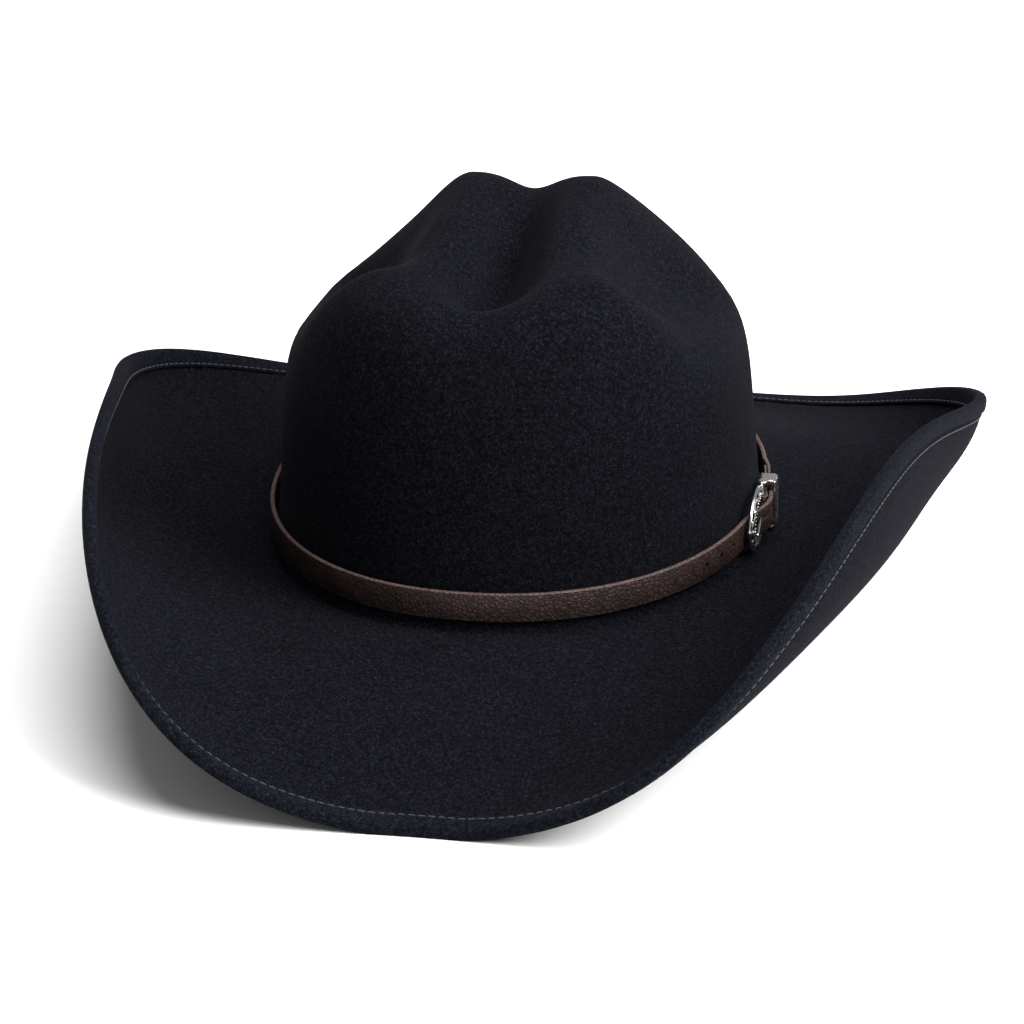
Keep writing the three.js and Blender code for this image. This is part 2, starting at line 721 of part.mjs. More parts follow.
add("hatband_strap", hatbandStrap(), finish(0x3a2420, 0.55));
add("chape_rivet", chapeRivet(), finish(0xc8c8cc, 0.25, 1));
add("keeper_loop", keeperLoop(), finish(0xd4d4d8, 0.25, 1));
const buckle = new THREE.Group();
buckle.applyMatrix4(buckleMatrix());
buckle.position.z = BUCKLE.z;
hat.add(buckle);
add("buckle_ring", buckleRing(), finish(0xd4d4d8, 0.25, 1), buckle);
add("buckle_bar", buckleBar(), finish(0xc8c8cc, 0.3, 1), buckle);
add("buckle_prong", buckleProng(), finish(0xd4d4d8, 0.25, 1), buckle);

add("sweatband", sweatbandStrip(), finish(0x2a2320, 0.5));
add("sweatband_reed", reedRod(), finish(0xe6e2d6, 0.4));
add("reed_tape", reedTape(), finish(0x24211f, 0.7));
add("sweatband_thread", sweatbandThread(), finish(0x1c1a1a, 0.8));
const onBand = SWEATBAND.inset + SWEATBAND.thick + GAP;
const tape = { wide: 9, low: 2, high: 40, inset: onBand, thick: 0.6 };
add("sweatband_seam_tape", backPatch(tape), finish(0x2a2320, 0.6));
add("sweatband_bow", sweatbandBow(), finish(0x18181c, 0.45));
const label = { wide: 16, low: 27, high: 37, inset: onBand + 0.9, thick: 0.5 };
add("size_label", backPatch(label), finish(0xe8e4da, 0.8));
add("lining_side", liningSide(), finish(0x202028, 0.35));
add("lining_top", topSheet(0.64, LINING.inset, LINING.drop, 1), finish(0x202028, 0.35));
const shieldDrop = LINING.drop + 1 + 1;
add("lining_tip_shield", topSheet(0.76, LINING.inset, shieldDrop, 0.7), finish(0xcfd6da, 0.15));

// The hat's own middle stands over the origin.
const middle = new THREE.Box3().setFromObject(hat).getCenter(new THREE.Vector3());
hat.position.set(-middle.x, -middle.y, 0);

export default hat;
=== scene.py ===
"""A black western felt hat standing on the front and the back of its brim."""

import json
import math

import bpy
import numpy as np
from mathutils import Matrix, Vector


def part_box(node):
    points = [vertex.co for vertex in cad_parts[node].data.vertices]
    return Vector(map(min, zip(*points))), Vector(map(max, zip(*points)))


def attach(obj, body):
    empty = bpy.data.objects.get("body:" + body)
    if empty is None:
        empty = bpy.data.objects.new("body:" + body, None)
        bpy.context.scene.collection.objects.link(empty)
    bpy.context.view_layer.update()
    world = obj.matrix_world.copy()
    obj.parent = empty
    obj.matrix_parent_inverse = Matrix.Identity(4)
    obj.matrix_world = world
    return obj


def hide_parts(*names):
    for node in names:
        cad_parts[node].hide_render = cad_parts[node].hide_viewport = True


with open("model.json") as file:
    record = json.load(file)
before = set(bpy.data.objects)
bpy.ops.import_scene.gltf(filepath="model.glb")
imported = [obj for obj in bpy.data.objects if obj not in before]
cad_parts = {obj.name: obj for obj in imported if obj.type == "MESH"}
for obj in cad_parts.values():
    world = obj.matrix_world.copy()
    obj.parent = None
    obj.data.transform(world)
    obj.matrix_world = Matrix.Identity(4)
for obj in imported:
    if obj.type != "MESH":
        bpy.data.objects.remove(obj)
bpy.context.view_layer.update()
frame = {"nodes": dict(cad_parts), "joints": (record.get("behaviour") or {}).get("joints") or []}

MM = 0.001

# ---- Driving dimensions, in millimetres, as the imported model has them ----

OVAL_X, OVAL_Y, OVAL_POWER = 86.0, 103.0, 2.15
BAND_Z = 30.5
BREAK_Z = BAND_Z - 4.7
FELT = 2.4
TAPER, SHOULDER_POWER = 0.07, 10.0
EDGE = np.array(
    [
        [0, -197, 0.2],
        [59.5, -199.5, 18],
        [101.5, -173, 53],
        [129.5, -91, 77.5],
        [149, 1, 70.5],
        [161, 64, 55.5],
        [137.5, 118, 35.5],
        [85, 170.5, 8.5],
        [0, 194, 0.2],
    ]
)
EDGE_REST, EDGE_FLAT, EDGE_LIFT = 1.6, 1.1, 86.0
FRONT_SLOPES, SIDE_SLOPES = (1.5, 0.0), (-8.0, 121.0)
FRONT_REACH, SIDE_REACH = 20.0, 45.0
CURL_POWER, FAN = 0.73, 0.24

FELT_EDGE_DEPTH = 4.0
HEM_DEPTH = 7.0
BINDING_HALF = 2.3

STRAP_WIDTH, STRAP_THICK, CHAPE_THICK = 10.0, 1.6, 0.9
STRAP_Z = BAND_Z + 1.4 + STRAP_WIDTH / 2
BUCKLE_ARC, BAR_AHEAD, BAR_OFFSET = 131.0, 12.0, 2.3
BUCKLE_Z = BAND_Z + 7.3
RING_LONG, RING_TALL = 31.0, 21.4
HOLE_LONG, HOLE_TALL = 22.4, 16.2
FRAME_TILT = math.radians(5)
KEEPER_AHEAD = 18.5
SPARE_HOLES = (-41, -32, -23)
RIVET_AHEAD = 34.0

crown_low, crown_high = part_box("felt_crown")
MIDDLE_Y = (crown_low.y + crown_high.y) / 2

# ---- Making meshes ----


def deselect():
    if bpy.context.object and bpy.context.object.mode != "OBJECT":
        bpy.ops.object.mode_set(mode="OBJECT")
    bpy.ops.object.select_all(action="DESELECT")


def pick(piece):
    deselect()
    piece.select_set(True)
    bpy.context.view_layer.objects.active = piece


def skinned(name, points, shift=True):
    """A grid primitive whose corners are moved onto an array of points [row, column], in mm."""
    rows, columns = points.shape[0] - 1, points.shape[1] - 1
    deselect()
    bpy.ops.mesh.primitive_grid_add(x_subdivisions=columns, y_subdivisions=rows, size=1)
    piece = bpy.context.object
    piece.name = piece.data.name = name
    co = np.zeros(len(piece.data.vertices) * 3)
    piece.data.vertices.foreach_get("co", co)
    co = co.reshape(-1, 3)
    column = np.rint((co[:, 0] + 0.5) * columns).astype(int)
    row = np.rint((co[:, 1] + 0.5) * rows).astype(int)
    placed = points[row, column] * MM
    if shift:
        placed[:, 1] += MIDDLE_Y
    piece.data.vertices.foreach_set("co", placed.ravel())
    piece.data.update()
    return piece


def sewn(piece, distance=1e-5):
    """Merges the seam and the poles of a skinned piece."""
    pick(piece)
    bpy.ops.object.mode_set(mode="EDIT")
    bpy.ops.mesh.select_all(action="SELECT")
    bpy.ops.mesh.remove_doubles(threshold=distance)
    bpy.ops.object.mode_set(mode="OBJECT")
    return piece


def outward(piece):
    """Turns the faces of a closed piece outwards."""
    pick(piece)
    bpy.ops.object.mode_set(mode="EDIT")
    bpy.ops.mesh.select_all(action="SELECT")
    bpy.ops.mesh.normals_make_consistent(inside=False)
    bpy.ops.object.mode_set(mode="OBJECT")
    return piece


def smoothed(piece, angle=40):
    pick(piece)
    bpy.ops.object.shade_smooth_by_angle(angle=math.radians(angle))
    return piece


def thickened(piece, thickness, offset=-1.0):
    pick(piece)
    solid = piece.modifiers.new("thickness", "SOLIDIFY")
    solid.thickness = thickness * MM
    solid.offset = offset
    solid.use_quality_normals = True
    bpy.ops.object.modifier_apply(modifier=solid.name)
    return piece


def bevelled(piece, width, segments=3, angle=40):
    pick(piece)
    edge = piece.modifiers.new("edge", "BEVEL")
    edge.width = width * MM
    edge.segments = segments
    edge.limit_method = "ANGLE"
    edge.angle_limit = math.radians(angle)
    bpy.ops.object.modifier_apply(modifier=edge.name)
    return piece


def joined(name, pieces):
    deselect()
    for piece in pieces:
        piece.select_set(True)
    bpy.context.view_layer.objects.active = pieces[0]
    if len(pieces) > 1:
        bpy.ops.object.join()
    made = bpy.context.object
    made.name = made.data.name = name
    return made


def cut_by(piece, cutters):
    """Takes the cutters' volume out of a piece and removes them."""
    tool = joined("cutter", cutters)
    pick(piece)
    cut = piece.modifiers.new("cut", "BOOLEAN")
    cut.operation = "DIFFERENCE"
    cut.solver = "EXACT"
    cut.use_self = True
    cut.object = tool
    bpy.ops.object.modifier_apply(modifier=cut.name)
    bpy.data.objects.remove(tool)
    return piece


def placed(piece, matrix):
    """Moves a piece's mesh by a matrix and leaves its object at the origin."""
    piece.data.transform(matrix @ piece.matrix_basis)
    piece.matrix_basis = Matrix.Identity(4)
    return piece


def finished(piece, body, material, slot, *nodes):
    """Gives a piece its material and its body, and hides the nodes it stands for; slot is not used."""
    piece.data.materials.clear()
    piece.data.materials.append(material)
    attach(piece, body)
    if nodes:
        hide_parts(*nodes)
    return piece


def circle_section(radius, sides):
    turn = np.linspace(0, 2 * np.pi, sides, endpoint=False)
    return np.stack([radius * np.cos(turn), radius * np.sin(turn)], -1)


def tube(name, line, radii, sides=12, shift=True):
    """A round rod with closed ends along a line of points, in mm."""
    line = np.array(line, float)
    ahead = np.gradient(line, axis=0)
    ahead /= np.linalg.norm(ahead, axis=1, keepdims=True)
    side = np.zeros_like(line)
    guide = np.array([0.0, 0.0, 1.0])
    if abs(ahead[0] @ guide) > 0.9:
        guide = np.array([0.0, 1.0, 0.0])
    for i, direction in enumerate(ahead):
        across = np.cross(direction, guide)
        side[i] = across / np.linalg.norm(across)
        guide = np.cross(side[i], direction)
    up = np.cross(side, ahead)
    radii = np.broadcast_to(np.asarray(radii, float), len(line))
    turn = np.linspace(0, 2 * np.pi, sides + 1)
    ring = np.cos(turn)[:, None, None] * side[None] + np.sin(turn)[:, None, None] * up[None]
    points = line[None] + ring * radii[None, :, None]
    first = np.broadcast_to(line[:1][None], (sides + 1, 1, 3))
    last = np.broadcast_to(line[-1:][None], (sides + 1, 1, 3))
    points = np.concatenate([first, points, last], axis=1)
    return outward(sewn(skinned(name, points, shift)))


# ---- The shape of the felt ----


def smooth(start, end, value):
    t = np.clip((value - start) / (end - start), 0, 1)
    return t * t * (3 - 2 * t)


def bell(t):
    return np.exp(-t * t)


def mix(a, b, t):
    return a + (b - a) * t


def oval(psi, inset=0.0):
    power = 2 / OVAL_POWER
    s, c = np.sin(psi), np.cos(psi)
    x = (OVAL_X - inset) * np.sign(s) * np.abs(s) ** power
    y = -(OVAL_Y - inset) * np.sign(c) * np.abs(c) ** power
    return x, y


def creased_height(x, y):
    """Height of the creased top above the hatband line."""
    side = np.abs(x)
    ridge = 116 - 8 * smooth(0, -85, y) - 30 * smooth(20, 100, y)
    ridge_x = 22 + 16 * smooth(0, -75, y) + 6 * smooth(40, 90, y)
    slope = 0.8 - 0.4 * smooth(-40, -85, y)
    roof = ridge - slope * (np.hypot(np.maximum(side - ridge_x, 0), 6) - 6)
    fading = (1 - 0.76 * smooth(-25, 35, y)) * (1 - smooth(60, 95, y))
    groove_depth = 24 * smooth(-84, -52, y) * fading + 4 * smooth(-55, -85, y)
    groove = groove_depth * bell(side / (14 - 3 * smooth(-60, -10, y)))
    dent_depth = np.where(x < 0, 18, 12)
    dent_ends = smooth(-66, -30, y) * (1 - smooth(0, 60, y))
    dent = dent_depth * bell((side - 49 - 0.12 * (y + 8)) / 19) * dent_ends
    return roof - groove - dent


def crown_point(psi, climb, inset=0.0, drop=0.0):
    """Crown surface: climb runs from 0 at the break past the shoulder (0.5) to the top centre (1)."""
    knee = 0.5 ** (1 / SHOULDER_POWER)
    low = climb < 0.5
    wall_rise = knee * np.clip(climb, 0, 0.5) * 2
    top_near = knee * (1 - np.clip(climb, 0.5, 1)) * 2
    near = np.where(low, (1 - wall_rise**SHOULDER_POWER) ** (1 / SHOULDER_POWER), top_near)
    rise = np.where(low, wall_rise, (1 - top_near**SHOULDER_POWER) ** (1 / SHOULDER_POWER))
    scale = near * (1 - TAPER * rise)
    x, y = oval(psi, inset)
    x, y = x * scale, y * scale
    foot = BREAK_Z - BAND_Z
    z = BAND_Z + foot + (creased_height(x, y) - drop - foot) * rise
    return np.stack([x, y, z], -1)


def wall_point(psi, height, inset):
    """Point of the crown's wall at a height above the break."""
    x, y = oval(psi, inset)
    scale = np.ones_like(x * height)
    for _ in range(5):
        tall = creased_height(x * scale, y * scale) + BAND_Z - BREAK_Z
        rise = np.clip(height / tall, 0, 1)
        scale = (1 - rise**SHOULDER_POWER) ** (1 / SHOULDER_POWER) * (1 - TAPER * rise)
    return np.stack([x * scale, y * scale, BREAK_Z + height + 0 * scale], -1)


def edge_series(axis, odd):
    """Cosine or sine series through the edge stations, as a function of phi."""
    steps = len(EDGE) - 1
    weights = []
    for k in range(steps + 1):
        turn = k * np.pi * np.arange(steps + 1) / steps
        ends = np.where((np.arange(steps + 1) % steps) == 0, 0.5, 1.0)
        basis = np.sin(turn) if odd else np.cos(turn) * ends
        share = 2 if odd or 0 < k < steps else 1
        weights.append(share * (EDGE[:, axis] * basis).sum() / steps)

    def curve(phi):
        wave = np.sin if odd else np.cos
        return sum(w * wave(k * phi) for k, w in enumerate(weights))

    return curve


edge_x, edge_y, edge_z = edge_series(0, True), edge_series(1, False), edge_series(2, False)


def brim_middle(phi, t):
    """Middle surface of the brim: t runs from the break (0) to the edge (1)."""
    root_x, root_y = oval(phi - FAN * np.sin(2 * phi), FELT)
    lift = np.maximum(edge_z(phi) - EDGE_FLAT, 0)
    curl = np.clip(lift / EDGE_LIFT, 0, 1) ** CURL_POWER
    out_x, out_y = edge_x(phi) - root_x, edge_y(phi) - root_y
    far = np.hypot(out_x, out_y)
    start = np.radians(mix(FRONT_SLOPES[0], SIDE_SLOPES[0], curl))
    end = np.radians(mix(FRONT_SLOPES[1], SIDE_SLOPES[1], curl))
    reach = mix(FRONT_REACH, SIDE_REACH, curl)
    top = EDGE_REST + lift - BREAK_Z
    s = 1 - t
    one, two, three = 3 * s * s * t, 3 * s * t * t, t**3
    out = one * reach * np.cos(start) + two * (far - reach * np.cos(end)) + three * far
    up = one * reach * np.sin(start) + two * (top - reach * np.sin(end)) + three * top
    x = root_x + out_x / far * out
    y = root_y + out_y / far * out
    return np.stack([x, y, BREAK_Z + up], -1)


def brim_normal(phi, t):
    step = 1e-3
    around = brim_middle(phi + step, t) - brim_middle(phi - step, t)
    along = brim_middle(phi, np.minimum(t + step, 1)) - brim_middle(phi, np.maximum(t - step, 0))
    normal = np.cross(along, around)
    return normal / np.linalg.norm(normal, axis=-1, keepdims=True)


def brim_point(phi, t, offset=0.0):
    return brim_middle(phi, t) + brim_normal(phi, t) * np.asarray(offset)[..., None]


def depth_parameter(phi, depths):
    """Curve parameters at depths in from the edge, measured along the felt: [depth, phi]."""
    t = np.linspace(1, 0, 600)
    line = brim_middle(phi[None], t[:, None] + 0 * phi[None])
    gone = np.zeros((len(t), len(phi)))
    gone[1:] = np.cumsum(np.linalg.norm(np.diff(line, axis=0), axis=-1), axis=0)
    return np.stack([np.interp(depths, gone[:, i], t) for i in range(len(phi))], 1)


def edge_points(phi, depths, offsets):
    """Points near the edge by depth and offset, rested on the table: [depth, phi]."""
    t = depth_parameter(phi, depths)
    points = brim_point(phi[None] + 0 * t, t, np.asarray(offsets)[:, None] + 0 * t)
    points[..., 2] = np.maximum(points[..., 2], 0)
    return points


def felt_surface(columns=260):
    """Outside of the felt from the brim's edge over the break to the top centre: [row, column]."""
    phi = np.linspace(0, 2 * np.pi, columns + 1)
    psi = phi - FAN * np.sin(2 * phi)
    half = FELT / 2
    last = depth_parameter(phi, [FELT_EDGE_DEPTH])[0]
    fillet = 3.2
    steps = np.linspace(0, 1, 60)
    line = brim_middle(phi[None], steps[:, None] + 0 * phi[None])
    gone = np.zeros((60, columns + 1))
    gone[1:] = np.cumsum(np.linalg.norm(np.diff(line, axis=0), axis=-1), axis=0)
    first = np.array([np.interp(FELT + fillet, gone[:, i], steps) for i in range(columns + 1)])
    share = np.linspace(0, 1, 62)[:, None]
    t = last[None] + (first - last)[None] * share
    brim = brim_point(phi[None] + 0 * t, t, half + 0 * t)
    foot = brim[-1]
    before = brim[-1] - brim[-2]
    before /= np.linalg.norm(before, axis=-1, keepdims=True)
    wall_height = fillet + foot[:, 2] - BREAK_Z
    wall = wall_point(psi, wall_height, 0.0)
    turn = np.linspace(0, 1, 7)[1:-1, None, None]
    corner_a = foot + before * fillet * 0.62
    corner_b = wall - np.array([0, 0, 1.0]) * fillet * 0.62
    s = 1 - turn
    bend = s**3 * foot + 3 * s * s * turn * corner_a + 3 * s * turn**2 * corner_b + turn**3 * wall
    rise = wall_height / (creased_height(wall[:, 0], wall[:, 1]) + BAND_Z - BREAK_Z)
    knee = 0.5 ** (1 / SHOULDER_POWER)
    first_climb = rise / (2 * knee)
    share = np.linspace(0, 1, 84)[:, None]
    share = share - 0.06 * np.sin(2 * np.pi * share)
    climb = first_climb[None] + (1 - first_climb)[None] * share
    crown = crown_point(psi[None] + 0 * climb, climb)
    return np.concatenate([brim, bend, crown], axis=0)


# ---- Materials ----


class Maker:
    """Short calls for building a node tree."""

    def __init__(self, tree):
        self.tree = tree

    def node(self, kind, **settings):
        made = self.tree.nodes.new(kind)
        for key, value in settings.items():
            if key in made.inputs.keys():
                made.inputs[key].default_value = value
            else:
                setattr(made, key, value)
        return made

    def link(self, source, target):
        self.tree.links.new(source, target)

    def maths(self, operation, a, b=None, clamp=False):
        made = self.tree.nodes.new("ShaderNodeMath")
        made.operation = operation
        made.use_clamp = clamp
        for socket, value in zip(made.inputs, (a, b)):
            if value is None:
                continue
            if isinstance(value, (int, float)):
                socket.default_value = value
            else:
                self.link(value, socket)
        return made.outputs[0]

    def blend(self, factor, a, b):
        made = self.tree.nodes.new("ShaderNodeMix")
        made.data_type = "RGBA"
        for socket, value in ((made.inputs[0], factor), (made.inputs[6], a), (made.inputs[7], b)):
            if isinstance(value, (int, float, tuple)):
                socket.default_value = value
            else:
                self.link(value, socket)
        return made.outputs[2]

    def span(self, value, low, high, to_low=0.0, to_high=1.0):
        made = self.node("ShaderNodeMapRange", **{"From Min": low, "From Max": high})
        made.inputs["To Min"].default_value = to_low
        made.inputs["To Max"].default_value = to_high
        self.link(value, made.inputs["Value"])
        return made.outputs["Result"]


def new_group(name, inputs, outputs):
    group = bpy.data.node_groups.new(name, "ShaderNodeTree")
    for label, kind, value in inputs:
        socket = group.interface.new_socket(label, in_out="INPUT", socket_type=kind)
        socket.default_value = value
    for label, kind in outputs:
        group.interface.new_socket(label, in_out="OUTPUT", socket_type=kind)
    maker = Maker(group)
    return group, maker, maker.node("NodeGroupInput"), maker.node("NodeGroupOutput")


def nap_group():
    """Short felt fibres: base colour with paler flecks and tufts, and their height."""
    group, m, inside, outside = new_group(
        "felt nap",
        [
            ("Vector", "NodeSocketVector", (0, 0, 0)),
            ("Felt", "NodeSocketColor", (0.01, 0.01, 0.012, 1)),
            ("Fleck", "NodeSocketColor", (0.05, 0.05, 0.06, 1)),
            ("Flecks", "NodeSocketFloat", 1.0),
        ],
        [("Color", "NodeSocketColor"), ("Height", "NodeSocketFloat")],
    )
    fine = m.node("ShaderNodeTexNoise", Scale=2100.0, Detail=3.0, Roughness=0.65)
    tufts = m.node("ShaderNodeTexNoise", Scale=760.0, Detail=4.0, Roughness=0.65)
    cloud = m.node("ShaderNodeTexNoise", Scale=26.0, Detail=3.0, Roughness=0.55)
    hairs = m.node("ShaderNodeTexWave", Scale=190.0, Distortion=14.0, Detail=3.0)
    hairs.inputs["Detail Scale"].default_value = 3.0
    for texture in (fine, tufts, cloud, hairs):
        m.link(inside.outputs["Vector"], texture.inputs["Vector"])
    grainy = m.span(fine.outputs["Fac"], 0.42, 0.72)
    patchy = m.span(tufts.outputs["Fac"], 0.4, 0.68)
    lint = m.span(hairs.outputs["Fac"], 0.965, 1.0)
    cloudy = m.span(cloud.outputs["Fac"], 0.3, 0.75, 0.75, 1.15)
    fleck = m.maths("MULTIPLY", grainy, patchy)
    fleck = m.maths("ADD", fleck, m.maths("MULTIPLY", m.maths("MULTIPLY", lint, grainy), 0.8))
    fleck = m.maths("MULTIPLY", fleck, inside.outputs["Flecks"], clamp=True)
    shade = m.tree.nodes.new("ShaderNodeVectorMath")
    shade.operation = "SCALE"
    m.link(inside.outputs["Felt"], shade.inputs[0])
    m.link(cloudy, shade.inputs["Scale"])
    colour = m.blend(fleck, shade.outputs[0], inside.outputs["Fleck"])
    m.link(colour, outside.inputs["Color"])
    high = m.maths("ADD", m.maths("MULTIPLY", fine.outputs["Fac"], 0.6), tufts.outputs["Fac"])
    m.link(high, outside.inputs["Height"])
    return group


def hide_group():
    """Leather grain: cells with creases between them, and a slow change of colour."""
    group, m, inside, outside = new_group(
        "leather grain",
        [
            ("Vector", "NodeSocketVector", (0, 0, 0)),
            ("Scale", "NodeSocketFloat", 700.0),
            ("Leather", "NodeSocketColor", (0.05, 0.03, 0.02, 1)),
            ("Worn", "NodeSocketColor", (0.1, 0.06, 0.05, 1)),
        ],
        [("Color", "NodeSocketColor"), ("Height", "NodeSocketFloat"), ("Roughness", "NodeSocketFloat")],
    )
    warp = m.node("ShaderNodeTexNoise", Scale=260.0, Detail=3.0)
    cells = m.node("ShaderNodeTexVoronoi", feature="DISTANCE_TO_EDGE")
    bumps = m.node("ShaderNodeTexVoronoi", feature="F1")
    wear = m.node("ShaderNodeTexNoise", Scale=90.0, Detail=5.0, Roughness=0.65)
    shift = m.tree.nodes.new("ShaderNodeVectorMath")
    shift.operation = "MULTIPLY_ADD"
    shift.inputs[1].default_value = (0.0012, 0.0012, 0.0012)
    m.link(inside.outputs["Vector"], warp.inputs["Vector"])
    m.link(warp.outputs["Color"], shift.inputs[0])
    m.link(inside.outputs["Vector"], shift.inputs[2])
    for cell in (cells, bumps):
        m.link(shift.outputs[0], cell.inputs["Vector"])
        m.link(inside.outputs["Scale"], cell.inputs["Scale"])
    m.link(inside.outputs["Vector"], wear.inputs["Vector"])
    crease = m.span(cells.outputs["Distance"], 0.0, 0.16)
    dome = m.span(bumps.outputs["Distance"], 0.0, 0.8, 1.0, 0.4)
    high = m.maths("MULTIPLY", crease, dome)
    worn = m.maths("MULTIPLY", m.span(wear.outputs["Fac"], 0.38, 0.72), high, clamp=True)
    colour = m.blend(worn, inside.outputs["Leather"], inside.outputs["Worn"])
    m.link(colour, outside.inputs["Color"])
    m.link(high, outside.inputs["Height"])
    m.link(m.span(worn, 0.0, 1.0, 0.62, 0.42), outside.inputs["Roughness"])
    return group


def weave_group():
    """Woven threads over and under, by the piece's own UV map."""
    group, m, inside, outside = new_group(
        "weave",
        [("Across", "NodeSocketFloat", 100.0), ("Along", "NodeSocketFloat", 100.0)],
        [("Threads", "NodeSocketFloat"), ("Height", "NodeSocketFloat")],
    )
    cloth = m.node("ShaderNodeUVMap")
    split = m.node("ShaderNodeSeparateXYZ")
    m.link(cloth.outputs["UV"], split.inputs[0])
    u = m.maths("SINE", m.maths("MULTIPLY", split.outputs["X"], inside.outputs["Across"]))
    v = m.maths("SINE", m.maths("MULTIPLY", split.outputs["Y"], inside.outputs["Along"]))
    product = m.maths("MULTIPLY", u, v)
    high = m.span(product, -1.0, 1.0)
    m.link(high, outside.inputs["Height"])
    m.link(m.span(product, -0.6, 0.6), outside.inputs["Threads"])
    return group


NAP, HIDE, WEAVE = nap_group(), hide_group(), weave_group()


def new_material(name, **settings):
    material = bpy.data.materials.new(name)
    material.use_nodes = True
    m = Maker(material.node_tree)
    surface = material.node_tree.nodes["Principled BSDF"]
    for key, value in settings.items():
        surface.inputs[key.replace("_", " ")].default_value = value
    return material, m, surface


def bumped(m, surface, height, strength, distance):
    bump = m.node("ShaderNodeBump", Strength=strength, Distance=distance * MM)
    m.link(height, bump.inputs["Height"])
    m.link(bump.outputs["Normal"], surface.inputs["Normal"])
    return bump


def place_of(m):
    return m.node("ShaderNodeTexCoord").outputs["Object"]


def placed_group(m, group, **values):
    made = m.node("ShaderNodeGroup")
    made.node_tree = group
    for key, value in values.items():
        made.inputs[key].default_value = value
    return made


def felt_material(name, felt, fleck, flecks):
    material, m, surface = new_material(
        name,
        Roughness=1.0,
        Specular_IOR_Level=0.02,
        Sheen_Weight=0.012,
        Sheen_Roughness=0.5,
        Sheen_Tint=(0.8, 0.82, 1.0, 1),
    )
    nap = placed_group(m, NAP, Felt=(*felt, 1), Fleck=(*fleck, 1), Flecks=flecks)
    m.link(place_of(m), nap.inputs["Vector"])
    m.link(nap.outputs["Color"], surface.inputs["Base Color"])
    bumped(m, surface, nap.outputs["Height"], 0.55, 0.35)
    return material


def leather_material(name, leather, worn, scale, coat, cut_edge=None):
    material, m, surface = new_material(
        name, Coat_Weight=coat, Coat_Roughness=0.3, Specular_IOR_Level=0.3
    )
    place = place_of(m)
    hide = placed_group(m, HIDE, Scale=scale, Leather=(*leather, 1), Worn=(*worn, 1))
    m.link(place, hide.inputs["Vector"])
    colour = hide.outputs["Color"]
    if cut_edge:
        split = m.node("ShaderNodeSeparateXYZ")
        m.link(place, split.inputs[0])
        off = m.maths("ABSOLUTE", m.maths("SUBTRACT", split.outputs["Z"], STRAP_Z * MM))
        half = STRAP_WIDTH / 2 * MM
        rim = m.span(off, half - 0.42 * MM, half - 0.2 * MM)
        fray = m.node("ShaderNodeTexNoise", Scale=900.0, Detail=3.0)
        m.link(place, fray.inputs["Vector"])
        rim = m.maths("MULTIPLY", rim, m.span(fray.outputs["Fac"], 0.25, 0.55), clamp=True)
        colour = m.blend(rim, colour, (*cut_edge, 1))
    m.link(colour, surface.inputs["Base Color"])
    m.link(hide.outputs["Roughness"], surface.inputs["Roughness"])
    bumped(m, surface, hide.outputs["Height"], 0.8, 0.3)
    return material


def metal_material(name, bright, dark=None):
    """Polished white metal with fine scratches; recesses marked on the mesh are blackened."""
    material, m, surface = new_material(name, Metallic=1.0)
    scratch = m.node("ShaderNodeTexNoise", Scale=900.0, Detail=5.0, Roughness=0.7)
    stain = m.node("ShaderNodeTexNoise", Scale=240.0, Detail=4.0)
    place = place_of(m)
    m.link(place, scratch.inputs["Vector"])
    m.link(place, stain.inputs["Vector"])
    dull = m.span(stain.outputs["Fac"], 0.35, 0.75, 1.0, 0.78)
    tint = m.tree.nodes.new("ShaderNodeVectorMath")
    tint.operation = "SCALE"
    tint.inputs[0].default_value = bright
    m.link(dull, tint.inputs["Scale"])
    colour, rough = tint.outputs[0], m.span(scratch.outputs["Fac"], 0.3, 0.7, 0.14, 0.3)
    if dark:
        mark = m.node("ShaderNodeAttribute", attribute_name="hollow")
        colour = m.blend(mark.outputs["Fac"], colour, (*dark, 1))
        rough = m.maths("ADD", rough, m.maths("MULTIPLY", mark.outputs["Fac"], 0.35))
    m.link(colour, surface.inputs["Base Color"])
    m.link(rough, surface.inputs["Roughness"])
    bumped(m, surface, scratch.outputs["Fac"], 0.12, 0.03)
    return material


def thread_material(name, colour):
    material, m, surface = new_material(name, Roughness=0.7, Sheen_Weight=0.2)
    ply = m.node(
        "ShaderNodeTexWave", Scale=700.0, Distortion=2.0, Detail=2.0, bands_direction="DIAGONAL"
    )
    m.link(place_of(m), ply.inputs["Vector"])
    dark = [c * 0.5 for c in colour]
    m.link(m.blend(ply.outputs["Fac"], (*dark, 1), (*colour, 1)), surface.inputs["Base Color"])
    bumped(m, surface, ply.outputs["Fac"], 0.5, 0.1)
    return material


def cloth_material(name, dark, light, across, along, roughness, sheen, coat=0.0):
    material, m, surface = new_material(name, Sheen_Weight=sheen, Coat_Weight=coat, Coat_Roughness=0.35)
    weave = placed_group(m, WEAVE, Across=across, Along=along)
    crease = m.node("ShaderNodeTexNoise", Scale=45.0, Detail=4.0, Distortion=1.2)
    m.link(place_of(m), crease.inputs["Vector"])
    m.link(m.blend(weave.outputs["Threads"], (*dark, 1), (*light, 1)), surface.inputs["Base Color"])
    worn = m.span(crease.outputs["Fac"], 0.3, 0.7, roughness * 0.8, roughness * 1.2)
    m.link(worn, surface.inputs["Roughness"])
    both = m.maths("ADD", m.maths("MULTIPLY", weave.outputs["Height"], 0.12), crease.outputs["Fac"])
    bumped(m, surface, both, 0.6, 0.9)
    return material


